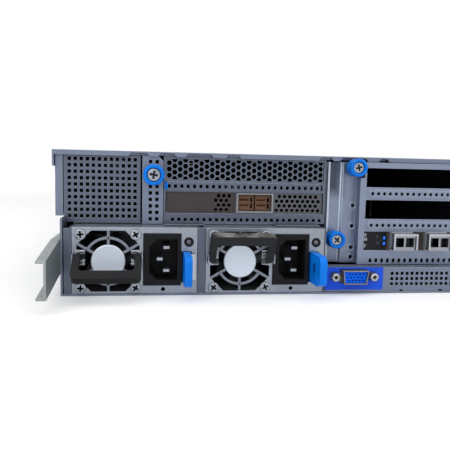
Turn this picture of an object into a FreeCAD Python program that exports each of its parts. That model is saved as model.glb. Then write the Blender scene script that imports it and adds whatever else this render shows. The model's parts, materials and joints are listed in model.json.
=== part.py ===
"""2U rack server: one STEP file per sub-part, written to parts/.

Frame: +X to the right as seen from the rear, the rear faces -Y, +Z up.
The origin is the centre of the underside of the floor. Millimetres.
"""
import FreeCAD, Part

import math
import os

Vector = FreeCAD.Vector

# ------------------------------------------------------------------ chassis
WIDTH = 447.0            # over the top cover
HEIGHT = 86.1            # 2U less the gap to the next unit
DEPTH = 765.0            # front plane of the drives to the rearmost panel
SHEET = 1.2              # floor and walls
THIN = 1.0               # cover, brackets and perforated panels
LOWER_INSET = 6.7        # lower side wall, set back for the rack rails
UPPER_INSET = 1.2        # upper side wall, under the cover's flange
STEP_Z = 46.0            # where the side wall steps out
COVER_GAP = 0.2          # running clearance under and beside the cover
BEAM_DEPTH = 14.0        # cross beam over the rear panels
SEAT = 0.3               # clearance between a piece and what carries it
REAR_STEP = 18.0         # lower bay and I/O strip stand out by this
RISER_STEP = 9.0         # slot panel of the right riser stands out by this
FLANGE_STEP = 2.0        # screw flange beside it

# ------------------------------------------------------------- top cover
COVER_FLANGE = 9.9       # depth of the side flange
LIP_DROP = 3.0           # rear lip, below the top face
LIP_BEVEL = 2.4          # slanted ends of each lip tab
LIP_TABS = ((0.0, 47.7), (55.6, 65.4), (72.2, 82.0), (95.0, 107.2), (112.4, 167.2),
            (172.4, 181.4), (195.6, 207.2), (210.0, 300.0), (306.0, 316.0), (323.0, 370.0),
            (376.0, WIDTH))
FIXED_COVER = 190.0      # length of the fixed cover over the drives
COVER_LATCH_LENGTH = 96.0
COVER_LATCH_WIDTH = 40.0
LATCH_SIDE_GAP = 2.0
LATCH_END_GAP = 1.0
LATCH_POCKET = 5.4       # depth of its recess
LATCH_PIN_DROP = 2.1     # its pin, below the top face
LATCH_PIN_INSET = 5.0    # its pin, from the end of the recess
LATCH_LEVER = 2.4        # thickness
COVER_LATCH_PIN = 1.5    # radius
RUNNING = 0.05           # radial clearance of every pin in its hole

# ---------------------------------------------------------- rack fittings
EAR_WING = 17.8          # an ear stands out past the cover by this: 482.6 over both
EAR_HOLE_INSET = 8.75    # rack screws from the outer edge: columns 465.1 apart
EAR_HOLE_EDGE = 4.95     # rack screws from the upper and lower edge: rows 76.2 apart
EAR_HOLE_R = 3.4
EAR_PLATE = 3.0
BUTTON_R = 4.0
BUTTON_RISE = 8.0        # power button above mid height
BUTTON_COLLAR = 1.5
BUTTON_PROUD = 1.5
EAR_LEG = 60.0
RAIL_Z = 13.4            # underside of the rail on the side wall
RAIL_HEIGHT = 20.4
RAIL_LIP = 4.0
RAIL_TAIL = 43.0         # length behind the rearmost panel
RAIL_DROP = 5.4          # how far the tail falls over that length
RAIL_FRONT_GAP = 70.0

# --------------------------------------------------- left vent and bracket
VENT_LEFT = 6.3
VENT_RIGHT = 52.4
VENT_MARGIN_X = 3.3
VENT_MARGIN_TOP = 2.7
VENT_MARGIN_BOTTOM = 3.8
VENT_COLUMNS = 12
VENT_ROWS = 10
VENT_HOLE = 2.15
PANEL_TOP = 83.6         # top edge of the panels on the main rear plane
PANEL_RETURN = 8.0       # folded edge of a panel
BRACKET_LEFT = 53.5
BRACKET_RIGHT = 66.3
BRACKET_CHAMFER = 3.0
BRACKET_HOLE_PITCH = 4.04
BRACKET_HOLE_ROWS = 6

# ------------------------------------------------------- middle slot module
MIDDLE_LEFT = 66.6
MIDDLE_RIGHT = 171.0
HEX_LOW = 69.3           # window of the hexagonal mesh
HEX_HIGH = 82.1
HEX_PITCH = 3.88
HEX_ACROSS = 2.95
HEX_COLUMNS = 30
RIB_LOW = 62.4           # raised rib between the two openings
RIB_HIGH = 68.0
RIB_PROUD = 0.8
LEDGE_HOLE_X = 2.0
LEDGE_HOLE_Z = 2.3
LEDGE_PITCH = 3.97
LEDGE_COUNT = 25
LOWER_ROW_Z = 44.2
CARD_LOW = 48.4
CARD_HIGH = 61.8
CARD_VENT_PITCH = 3.45
CARD_VENT_ACROSS = 2.3
CARD_CAGE_LEFT = 112.8
CARD_CAGE_RIGHT = 136.5
CARD_LENGTH = 160.0
MODULE_DEPTH = 190.0
BOARD = 1.6              # thickness of every circuit board

# ------------------------------------------------------------ right risers
FLANGE_LEFT = 171.3
FLANGE_RIDGE = 181.0
SLOT_PANEL_LEFT = 191.1
SLOT_PANEL_RIGHT = 316.0
SLOT_PANEL_TOP = 82.7
SLOT_LEFT = 195.0
SLOT_WIDTH = 112.0
SLOT_HEIGHT = 12.2
SLOT_PITCH = 20.32       # expansion slots
SLOT_TOP_Z = 73.1        # centre of the highest slot
SLOT_HOLE_R = 1.2
BLANK_LAP = 1.4          # a blank is wider than its slot by this all round
SLOT_HOLE_PITCH = 3.94
SLOT_HOLE_COUNT = 28
LOW_ROW_Z = 19.6
SCREW_HOLE_R = 1.25
RIGHT_MARGIN = 8.4       # second riser and I/O strip end short of the right edge
RIGHT_SLOT_MARGIN = 4.0
RIGHT_SLOT_END = 6.3     # sheet right of those slots, with the captive screw
RISER_LEG = 60.0         # outer side of a riser cage
RIGHT_VENT_COUNT = 9
RIGHT_VENT_HEIGHT = 2.2

# ----------------------------------------------------------- power supplies
PSU_WIDTH = 73.5
PSU_HEIGHT = 39.6
PSU_LENGTH = 185.0
PSU_LEFT = (13.3, 92.1)
PSU_WALL = 0.8
PSU_FACE = 1.0
FAN_X = 20.9             # fan axis from the left edge
FAN_Z = 19.3             # fan axis above the underside
FAN_OPENING = 36.6
FAN_GUSSET = 8.4
RING_R = 13.9
RING_W = 1.7
HUB_R = 9.95
SPOKE_W = 1.6
SPOKE_ANGLES = (30, 90, 150, 210, 270, 330)
ROTOR_R = 17.2
ROTOR_HUB_R = 9.0
INLET_LEFT = 41.3
INLET_WIDTH = 22.6
INLET_Z = 4.7
INLET_HEIGHT = 31.4
SOCKET_WIDTH = 16.6
SOCKET_HEIGHT = 24.6
SOCKET_CHAMFER = 4.6
SOCKET_DEPTH = 17.0
SOCKET_LEFT = 44.9
HANDLE_WIDTH = 39.0
HANDLE_REACH = 18.4
HANDLE_BAR = 6.6         # along the reach
HANDLE_THICK = 4.2
HANDLE_ARM = 4.0
HANDLE_PIN_R = 1.6
HANDLE_PIN_OUT = 4.4     # pivot, behind the face
HANDLE_PIN_Z = 21.6      # pivot, above the underside
HANDLE_ANGLE = (-33.0, 58.0)
LUG = 0.6                # thickness of the lugs that carry the handle's pins
LED_R = 2.6
LATCH_LEFT = 65.0
LATCH_THICK = 4.3
LATCH_REACH = 21.0
LATCH_Z = 6.6
LATCH_HEIGHT = 18.4
LATCH_PIN_R = 1.2
LATCH_PIN_IN = 4.5       # hinge pin of the latch, inside the face
TONGUE = 9.0             # edge connector at the inner end
BAY_WALL = 0.8
BAY_LEFT = 8.6
DECK_Z = 41.4            # underside of the deck over the power supplies
DECK_OVERHANG = 9.0

# ---------------------------------------------------------------- I/O strip
STRIP_LEFT = 167.2
STRIP_TOP = 16.9
GRID_LEFT = 211.3
GRID_Z = 6.1
GRID_PITCH = 3.37
GRID_COLUMNS = 18
GRID_ROWS = 3
GRID_HOLE = 2.1
SHELF_HOLE = 1.0         # half width of the holes in its top
VGA_X = 185.2
VGA_Z = 11.4
VGA_SCREWS = 24.99       # between the jackscrews
VGA_PLATE_RIGHT = 205.0
USB_X = (288.0, 304.0)
USB_SHELL = (13.1, 5.9)
LAN_X = (330.0, 352.0)
LAN_SHELL = (16.0, 9.6)

# ------------------------------------------------------------- network card
CAGE_X = (219.8, 243.4)
CAGE_WIDTH = 14.6
CAGE_HEIGHT = 11.8
CAGE_LENGTH = 46.0
MODULE_PROUD = 7.0
BAIL_R = 0.6

# ------------------------------------------------------------ thumbscrews
KNOB_OUT = 11.0
KNOB_GAP = 2.6           # between the knob and the sheet that it clamps
THUMB_STEM_R = 2.0

# -------------------------------------------------------------- front half
DRIVE_COLUMNS = 4
DRIVE_ROWS = 3
DRIVE_CAGE_LENGTH = 166.0
DRIVE_FRONT = 4.0        # carrier face stands out of the cage by this
CAGE_WALL = 1.0
CAGE_CLEARANCE = 1.0     # drive cage inside the side walls
FAN_HEADROOM = 2.4       # above the fans, under the cover
FAN_DEPTH = 38.0
FAN_RIM = 2.5            # frame outside the bore
TIP_GAP = 1.4            # between the blades and that bore
FAN_SIDE_SPACE = 18.6    # free space outside the outer fans
FAN_COUNT = 4
FAN_Y_FROM_FRONT = 262.0
BOARD_Z = 4.0
CPU_OFFSET = 70.0        # processors left and right of the middle
CPU_FROM_FRONT = 400.0
MEMORY_OFFSET = 48.0     # first memory module from the processor
MEMORY_PITCH = 7.6
CARRIER_TRAY = 147.0
BACKPLANE_WINDOW = (68.0, 9.0)
LATCH_MARGIN = 6.0       # between the cover's latch and the fans

# ------------------------------------------------- facets of round outlines
FINE_COUNT = 24
KNOB_COUNT = 16
PIN_COUNT = 8

# --------------------------------------------------------- derived planes
X_LEFT = -WIDTH / 2
X_RIGHT = WIDTH / 2
Y_REAR = -DEPTH / 2
Y_FRONT = DEPTH / 2
Y_MAIN = Y_REAR + REAR_STEP
Y_FLANGE = Y_MAIN - FLANGE_STEP
Y_RISER = Y_MAIN - RISER_STEP
WALL_TOP = HEIGHT - THIN - COVER_GAP
Y_SPLIT = Y_FRONT - FIXED_COVER
DECK_TOP = DECK_Z + BAY_WALL
PSU_Z = SHEET + SEAT
STRIP_BOTTOM = SHEET + SEAT
SLOT_PANEL_BOTTOM = STRIP_TOP + SEAT
BOARD_TOP = BOARD_Z + BOARD
EAR_SPAN = WIDTH + 2 * EAR_WING
RIGHT_RISER_RIGHT = WIDTH - RIGHT_MARGIN
CAGE_HALF = WIDTH / 2 - LOWER_INSET - SHEET - CAGE_CLEARANCE
FAN_SEAT_Z = SHEET + SEAT + THIN
FAN_FRAME = WALL_TOP - FAN_HEADROOM - FAN_SEAT_Z
FAN_BORE_R = FAN_FRAME / 2 - FAN_RIM
FAN_PITCH = (2 * (CAGE_HALF - FAN_SIDE_SPACE) - FAN_FRAME) / (FAN_COUNT - 1)
FAN_Y = Y_FRONT - FAN_Y_FROM_FRONT


# ------------------------------------------------------------ small helpers
def across(s):
    """X of a point that lies s from the left edge, seen from the rear."""
    return X_LEFT + s


def block(x0, x1, y0, y1, z0, z1):
    return Part.makeBox(x1 - x0, y1 - y0, z1 - z0, Vector(x0, y0, z0))


def wire_xz(points, y):
    corners = [Vector(x, y, z) for x, z in points]
    return Part.makePolygon(corners + corners[:1])


def rect_xz(x0, x1, z0, z1, y):
    return wire_xz(((x0, z0), (x1, z0), (x1, z1), (x0, z1)), y)


def hole_xz(x, z, width, height, y):
    return rect_xz(x - width / 2, x + width / 2, z - height / 2, z + height / 2, y)


def ngon_xz(x, z, radius, y, sides, turn=0.0):
    step = 2 * math.pi / sides
    ring = [(x + radius * math.cos(turn + k * step), z + radius * math.sin(turn + k * step))
            for k in range(sides)]
    return wire_xz(ring, y)


def hexagon_xz(x, z, flats, y):
    """Hexagon with a flat top, so its corners point left and right."""
    return ngon_xz(x, z, flats / math.sqrt(3), y, 6)


def sheet_xz(outer, holes, y, thickness):
    """Flat sheet in the XZ plane from y to y + thickness, with its holes."""
    face = Part.makeFace([outer] + list(holes), "Part::FaceMakerBullseye")
    return face.extrude(Vector(0, thickness, 0))


def prism(points, start, direction, plane):
    """Extrude a closed outline given in one of the planes xy, xz or yz."""
    place = {"xy": lambda a, b: Vector(a, b, start),
             "xz": lambda a, b: Vector(a, start, b),
             "yz": lambda a, b: Vector(start, a, b)}[plane]
    corners = [place(a, b) for a, b in points]
    return Part.Face(Part.makePolygon(corners + corners[:1])).extrude(direction)


def ring(a, b, radius, sides):
    step = 2 * math.pi / sides
    return [(a + radius * math.cos((k + 0.5) * step), b + radius * math.sin((k + 0.5) * step))
            for k in range(sides)]


def rod_x(y, z, radius, x0, x1, sides=PIN_COUNT):
    return prism(ring(y, z, radius, sides), x0, Vector(x1 - x0, 0, 0), "yz")


def rod_y(x, z, radius, y0, y1, sides=PIN_COUNT):
    return prism(ring(x, z, radius, sides), y0, Vector(0, y1 - y0, 0), "xz")


def rod_z(x, y, radius, z0, z1, sides=PIN_COUNT):
    return prism(ring(x, y, radius, sides), z0, Vector(0, 0, z1 - z0), "xy")


def bore_radius(pin_radius, sides=PIN_COUNT):
    """Corner radius of a bore whose flats clear a pin by the running fit."""
    return (pin_radius + RUNNING) / math.cos(math.pi / sides)


def fuse(*pieces):
    return pieces[0].multiFuse(list(pieces[1:])).removeSplitter()


def cut(body, *tools):
    return body.cut(list(tools))


def mirrored(shape):
    return shape.mirror(Vector(0, 0, 0), Vector(1, 0, 0))


def export(node, *solids):
    shape = solids[0] if len(solids) == 1 else Part.makeCompound(list(solids))
    shape.exportStep("parts/%s.step" % node)


# ------------------------------------------------------------------ chassis
def side_profile():
    """Left wall and half of the floor, as one folded sheet, mirrored."""
    low, up = across(LOWER_INSET), across(UPPER_INSET)
    left = [(low, 0), (low, STEP_Z), (up, STEP_Z), (up, WALL_TOP), (up + SHEET, WALL_TOP),
            (up + SHEET, STEP_Z + SHEET), (low + SHEET, STEP_Z + SHEET), (low + SHEET, SHEET)]
    return left + [(-x, z) for x, z in reversed(left)]


def chassis_pan():
    pan = prism(side_profile(), Y_REAR, Vector(0, DEPTH - DRIVE_FRONT, 0), "xz")
    rear_notch = block(X_LEFT, X_RIGHT, Y_REAR, Y_MAIN, STEP_Z, HEIGHT)
    vent_notch = block(across(VENT_LEFT) - SEAT, across(VENT_RIGHT), Y_MAIN - 1,
                       Y_MAIN + PANEL_RETURN + SEAT, DECK_TOP - SEAT, WALL_TOP - 2)
    pan = cut(pan, rear_notch, vent_notch)
    inner = across(UPPER_INSET + SHEET)
    left_flange = block(inner, across(VENT_LEFT) - 2 * SEAT, Y_MAIN, Y_MAIN + SHEET,
                        STEP_Z + SHEET, WALL_TOP)
    right_flange = block(across(RIGHT_RISER_RIGHT) + 2 * SEAT, -inner, Y_MAIN, Y_MAIN + SHEET,
                         STEP_Z + SHEET, WALL_TOP)
    beam = block(inner, -inner, Y_MAIN, Y_MAIN + BEAM_DEPTH, WALL_TOP - THIN, WALL_TOP)
    return fuse(pan, left_flange, right_flange, beam, *standoffs())


# ---------------------------------------------------------------- the cover
def lip_tab(start, end, first, last):
    """One tab of the rear lip, slanted at each end that isn't a corner."""
    low = HEIGHT - LIP_DROP
    left_bevel = 0 if first else LIP_BEVEL
    right_bevel = 0 if last else LIP_BEVEL
    x0, x1 = across(start), across(end)
    outline = [(x0, HEIGHT), (x1, HEIGHT), (x1 - right_bevel, low), (x0 + left_bevel, low)]
    return prism(outline, Y_MAIN - FLANGE_STEP - COVER_GAP - THIN, Vector(0, THIN, 0), "xz")


def latch_pocket():
    """Centre and half sizes of the recess for the cover's latch."""
    half_x = COVER_LATCH_WIDTH / 2 + LATCH_SIDE_GAP
    half_y = COVER_LATCH_LENGTH / 2 + LATCH_END_GAP
    return FAN_Y - LATCH_MARGIN - THIN - half_y, half_x, half_y


def top_cover():
    y0 = Y_MAIN - FLANGE_STEP - COVER_GAP - THIN
    y1 = Y_SPLIT - SEAT
    top = block(X_LEFT, X_RIGHT, y0, y1, HEIGHT - THIN, HEIGHT)
    flange = block(X_LEFT, X_LEFT + THIN, y0, y1, HEIGHT - COVER_FLANGE, HEIGHT)
    tabs = [lip_tab(a, b, k == 0, k == len(LIP_TABS) - 1)
            for k, (a, b) in enumerate(LIP_TABS)]
    cover = fuse(top, flange, mirrored(flange), *tabs)
    centre_y, half_x, half_y = latch_pocket()
    floor = HEIGHT - LATCH_POCKET
    tray = block(-half_x - THIN, half_x + THIN, centre_y - half_y - THIN,
                 centre_y + half_y + THIN, floor, HEIGHT)
    hollow = block(-half_x, half_x, centre_y - half_y, centre_y + half_y, floor + THIN, HEIGHT)
    cover = cut(fuse(cover, tray), hollow)
    pin_y = centre_y + half_y - LATCH_PIN_INSET
    holes = rod_x(pin_y, HEIGHT - LATCH_PIN_DROP, bore_radius(COVER_LATCH_PIN),
                  -half_x - THIN - 1, half_x + THIN + 1)
    return cut(cover, holes)


def cover_latch():
    """Flush lever with a finger dimple, on a cross pin at its front end."""
    centre_y, half_x, half_y = latch_pocket()
    pin_y = centre_y + half_y - LATCH_PIN_INSET
    pin_z = HEIGHT - LATCH_PIN_DROP
    half_t = LATCH_LEVER / 2
    half_w = COVER_LATCH_WIDTH / 2
    lever = block(-half_w, half_w, centre_y - half_y + 1.5, pin_y + 1.5, pin_z - half_t, pin_z + half_t)
    dimple = block(-half_w + 8, half_w - 8, centre_y - half_y + 4, centre_y - half_y + 24,
                   pin_z + 0.2, pin_z + 2)
    lever = cut(lever, dimple)
    pin = rod_x(pin_y, pin_z, COVER_LATCH_PIN, -half_x - THIN, half_x + THIN)
    return fuse(lever, pin)


def front_cover():
    """Fixed cover over the drives, with the same flanges as the sliding one."""
    y1 = Y_FRONT - DRIVE_FRONT
    top = block(X_LEFT, X_RIGHT, Y_SPLIT, y1, HEIGHT - THIN, HEIGHT)
    flange = block(X_LEFT, X_LEFT + THIN, Y_SPLIT, y1, HEIGHT - COVER_FLANGE, HEIGHT)
    return fuse(top, flange, mirrored(flange))


# ----------------------------------------------------------- ears and rails
def ear():
    """Left ear: a leg on the lower side wall and a front flange with two holes."""
    x_wall = across(LOWER_INSET)
    y1 = Y_FRONT - DRIVE_FRONT
    leg = block(x_wall - EAR_PLATE, x_wall, y1 - EAR_LEG, y1, 2.0, STEP_Z - SEAT)
    flange = block(-EAR_SPAN / 2, x_wall, y1 - EAR_PLATE, y1, SHEET, WALL_TOP)
    upper_wall = block(X_LEFT - SEAT, x_wall, y1 - EAR_PLATE, y1, STEP_Z - SEAT, WALL_TOP)
    flange = cut(flange, upper_wall)
    holes = [Part.makeCylinder(EAR_HOLE_R, EAR_PLATE + 2,
                               Vector(-EAR_SPAN / 2 + EAR_HOLE_INSET, y1 - EAR_PLATE - 1, z),
                               Vector(0, 1, 0)) for z in (EAR_HOLE_EDGE, HEIGHT - EAR_HOLE_EDGE)]
    return cut(fuse(leg, flange), *holes)


def power_button_place():
    return EAR_SPAN / 2 - EAR_HOLE_INSET, HEIGHT / 2 + BUTTON_RISE


def mounting_ears():
    x, z = power_button_place()
    y1 = Y_FRONT - DRIVE_FRONT
    button_hole = rod_y(x, z, bore_radius(BUTTON_R, KNOB_COUNT), y1 - EAR_PLATE - 1, y1 + 1, KNOB_COUNT)
    return ear(), cut(mirrored(ear()), button_hole)


def power_button():
    """Round push button, held behind the ear by its wider collar."""
    x, z = power_button_place()
    y1 = Y_FRONT - DRIVE_FRONT
    collar_y = y1 - EAR_PLATE - SEAT
    stem = rod_y(x, z, BUTTON_R, collar_y - BUTTON_COLLAR, y1 + BUTTON_PROUD, KNOB_COUNT)
    collar = rod_y(x, z, BUTTON_R + 1, collar_y - BUTTON_COLLAR, collar_y, KNOB_COUNT)
    return fuse(stem, collar)


def rail():
    """C section against the lower side wall, with a tail that drops a little."""
    x1 = across(LOWER_INSET)
    x0 = x1 - SHEET - RAIL_LIP
    z0, z1 = RAIL_Z, RAIL_Z + RAIL_HEIGHT
    section = [(x1, z0), (x1, z1), (x0, z1), (x0, z1 - SHEET), (x1 - SHEET, z1 - SHEET),
               (x1 - SHEET, z0 + SHEET), (x0, z0 + SHEET), (x0, z0)]
    straight = DEPTH - RAIL_FRONT_GAP
    body = prism(section, Y_REAR, Vector(0, straight, 0), "xz")
    tail = prism(section, Y_REAR, Vector(0, -RAIL_TAIL, -RAIL_DROP), "xz")
    return fuse(body, tail)


# ---------------------------------------------------- panels, left to middle
def folded_panel(x0, x1, z0, z1, y, holes):
    """Perforated panel with a return flange on each side edge and below."""
    plate = sheet_xz(rect_xz(x0, x1, z0, z1, y), holes, y, THIN)
    sides = [block(x, x + THIN, y, y + PANEL_RETURN, z0, z1) for x in (x0, x1 - THIN)]
    foot = block(x0, x1, y, y + PANEL_RETURN, z0, z0 + THIN)
    return fuse(plate, foot, *sides)


def grid(x0, x1, columns, z0, z1, rows):
    """Centres of a regular grid between two corner holes."""
    step_x = (x1 - x0) / (columns - 1)
    step_z = (z1 - z0) / (rows - 1)
    return [(x0 + i * step_x, z0 + j * step_z) for j in range(rows) for i in range(columns)]


def left_vent_plate():
    x0, x1 = across(VENT_LEFT), across(VENT_RIGHT)
    centres = grid(x0 + VENT_MARGIN_X, x1 - VENT_MARGIN_X, VENT_COLUMNS,
                   DECK_TOP + VENT_MARGIN_BOTTOM, PANEL_TOP - VENT_MARGIN_TOP, VENT_ROWS)
    holes = [hole_xz(x, z, VENT_HOLE, VENT_HOLE, Y_MAIN) for x, z in centres]
    return folded_panel(x0, x1, DECK_TOP, PANEL_TOP, Y_MAIN, holes)


def bracket_screw():
    """Axis of the captive screw in the module bracket."""
    return across((BRACKET_LEFT + BRACKET_RIGHT) / 2 + 0.6), 72.1


def module_bracket():
    """Upright bracket that the first captive screw holds, with two hole columns."""
    x0, x1 = across(BRACKET_LEFT), across(BRACKET_RIGHT)
    y = Y_MAIN - THIN - SEAT
    outline = wire_xz([(x0, DECK_Z), (x1, DECK_Z), (x1, PANEL_TOP - BRACKET_CHAMFER),
                       (x1 - BRACKET_CHAMFER, PANEL_TOP), (x0, PANEL_TOP)], y)
    screw_x, screw_z = bracket_screw()
    columns = [screw_x - BRACKET_HOLE_PITCH / 2, screw_x + BRACKET_HOLE_PITCH / 2]
    rows = [DECK_TOP + 2.4 + k * BRACKET_HOLE_PITCH for k in range(BRACKET_HOLE_ROWS)]
    rows.append(screw_z + 7.9)
    holes = [hole_xz(x, z, VENT_HOLE, VENT_HOLE, y) for x in columns for z in rows]
    holes.append(ngon_xz(screw_x, screw_z, bore_radius(THUMB_STEM_R), y, PIN_COUNT))
    plate = sheet_xz(outline, holes, y, THIN)
    leg = block(x0, x0 + THIN, y, y + PANEL_RETURN * 2, DECK_TOP, PANEL_TOP)
    return fuse(plate, leg)


def rib_sheet(x0, x1, z0, z1, y, holes):
    """Raised stadium-shaped rib with a row of holes."""
    bevel = (z1 - z0) * 0.28
    outline = wire_xz([(x0 + bevel, z0), (x1 - bevel, z0), (x1, z0 + bevel), (x1, z1 - bevel),
                       (x1 - bevel, z1), (x0 + bevel, z1), (x0, z1 - bevel), (x0, z0 + bevel)], y)
    return sheet_xz(outline, holes, y, RIB_PROUD + THIN)


def hole_row(x_first, pitch, count):
    return [x_first + k * pitch for k in range(count)]


def middle_module():
    """Carrier of two slots: mesh window above, card slot below, a rib between."""
    x0, x1 = across(MIDDLE_LEFT), across(MIDDLE_RIGHT)
    row_length = LEDGE_PITCH * (LEDGE_COUNT - 1)
    first = (x0 + x1 - row_length) / 2
    rib_z = (RIB_LOW + RIB_HIGH) / 2
    margin = 1.2
    windows = [rect_xz(x0 + margin, x1 - margin, HEX_LOW, HEX_HIGH, Y_MAIN),
               rect_xz(x0 + margin, x1 - margin, CARD_LOW, CARD_HIGH, Y_MAIN),
               rect_xz(x0 + 2, x1 - 2, RIB_LOW + 1, RIB_HIGH - 1, Y_MAIN)]
    lower_row = [hole_xz(x, LOWER_ROW_Z, LEDGE_HOLE_X, LEDGE_HOLE_Z, Y_MAIN)
                 for x in hole_row(first + margin, LEDGE_PITCH, LEDGE_COUNT)]
    plate = sheet_xz(rect_xz(x0, x1, DECK_TOP, PANEL_TOP, Y_MAIN), windows + lower_row,
                     Y_MAIN, THIN)
    rib_y = Y_MAIN - RIB_PROUD
    rib_holes = [hole_xz(x, rib_z, LEDGE_HOLE_X, LEDGE_HOLE_Z, rib_y)
                 for x in hole_row(first - margin, LEDGE_PITCH, LEDGE_COUNT)]
    rib = rib_sheet(x0 + 0.6, x1 - 3.4, RIB_LOW, RIB_HIGH, rib_y, rib_holes)
    sides = [block(x, x + THIN, Y_MAIN, Y_MAIN + MODULE_DEPTH, DECK_TOP, PANEL_TOP)
             for x in (x0, x1 - THIN)]
    shelf = block(x0, x1, Y_MAIN, Y_MAIN + MODULE_DEPTH, DECK_TOP, DECK_TOP + THIN)
    return fuse(plate, rib, shelf, *sides)


def hex_blank_panel():
    """Blank for the upper slot: hexagonal holes in a close honeycomb."""
    y = Y_MAIN + THIN
    x0 = across(MIDDLE_LEFT) + THIN + COVER_GAP
    x1 = across(MIDDLE_RIGHT) - THIN - COVER_GAP
    z0, z1 = RIB_HIGH - 0.4, PANEL_TOP
    step = HEX_PITCH * math.cos(math.radians(30))
    first = (x0 + x1 - step * (HEX_COLUMNS - 1)) / 2
    middle = (HEX_LOW + HEX_HIGH) / 2
    holes = []
    for column in range(HEX_COLUMNS):
        odd = column % 2
        rows = 4 if odd else 3
        low = middle - HEX_PITCH * (rows - 1) / 2
        holes += [hexagon_xz(first + column * step, low + k * HEX_PITCH, HEX_ACROSS, y)
                  for k in range(rows)]
    return sheet_xz(rect_xz(x0, x1, z0, z1, y), holes, y, THIN)


def staggered(x0, z0, columns, rows, pitch):
    """Centres of a staggered field, every second row moved by half a pitch."""
    rise = pitch * math.cos(math.radians(30))
    return [(x0 + (i + 0.5 * (j % 2)) * pitch, z0 + j * rise)
            for j in range(rows) for i in range(columns)]


def expansion_card():
    """Card in the lower middle slot: bracket, port frame and circuit board."""
    x0, x1 = across(MIDDLE_LEFT) + 1.6, across(MIDDLE_RIGHT) - 1.6
    y = Y_MAIN + THIN + SEAT
    cage0, cage1 = across(CARD_CAGE_LEFT), across(CARD_CAGE_RIGHT)
    centres = staggered(cage0 - 13.2, CARD_LOW + 2.2, 3, 4, CARD_VENT_PITCH)
    centres += staggered(cage1 + 2.6, CARD_LOW + 2.2, 9, 4, CARD_VENT_PITCH)
    holes = [ngon_xz(x, z, CARD_VENT_ACROSS / math.sqrt(3), y, 6, math.pi / 6)
             for x, z in centres]
    holes.append(rect_xz(cage0 + THIN, cage1 - THIN, CARD_LOW + 1.6, CARD_HIGH - 1.2, y))
    bracket = sheet_xz(rect_xz(x0, x1, CARD_LOW - 1.2, CARD_HIGH + 0.4, y), holes, y, THIN)
    frame_y = Y_MAIN - 0.6
    frame = sheet_xz(rect_xz(cage0, cage1, CARD_LOW + 0.6, CARD_HIGH - 0.4, frame_y),
                     [rect_xz(cage0 + THIN, cage1 - THIN, CARD_LOW + 1.6, CARD_HIGH - 1.2,
                              frame_y)], frame_y, 20.0)
    board = block(x0 + 6, x1 - 6, y + THIN, y + CARD_LENGTH, CARD_LOW + SEAT - BOARD,
                  CARD_LOW + SEAT)
    foot = block(x0 + 6, x1 - 6, y, y + THIN + 6, CARD_LOW + SEAT, CARD_LOW + SEAT + THIN)
    return fuse(bracket, frame, foot), board


def card_connectors():
    """Two stacked receptacles inside the port frame."""
    x0 = across(CARD_CAGE_LEFT) + THIN + SEAT
    x1 = across(CARD_CAGE_RIGHT) - THIN - SEAT
    z0, z1 = CARD_LOW + 1.6 + SEAT, CARD_HIGH - 1.5
    y = Y_MAIN + 1.6
    middle = (x0 + x1) / 2
    pieces = []
    for left in (x0, middle + 0.4):
        right = left + (x1 - x0) / 2 - 0.4
        body = block(left, right, y, y + 16, z0, z1)
        slots = [block(left + 0.8, left + 6.6, y - 1, y + 5, z, z + 1.5)
                 for z in (z0 + 2.6, z0 + 6.1)]
        slots.append(block(left + 7.6, left + 9.2, y - 1, y + 5, z0 + 1, z1 - 1))
        pieces.append(cut(body, *slots))
    return pieces


# -------------------------------------------------------------- right risers
def slot_heights():
    return [SLOT_TOP_Z - k * SLOT_PITCH for k in range(3)]


def flange_screws():
    """Axes of the two captive screws beside the left end of the slots."""
    upper = (across(188.4), 79.2)
    lower = (across((FLANGE_LEFT + FLANGE_RIDGE) / 2 + 0.7), 33.0)
    return upper, lower


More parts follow.
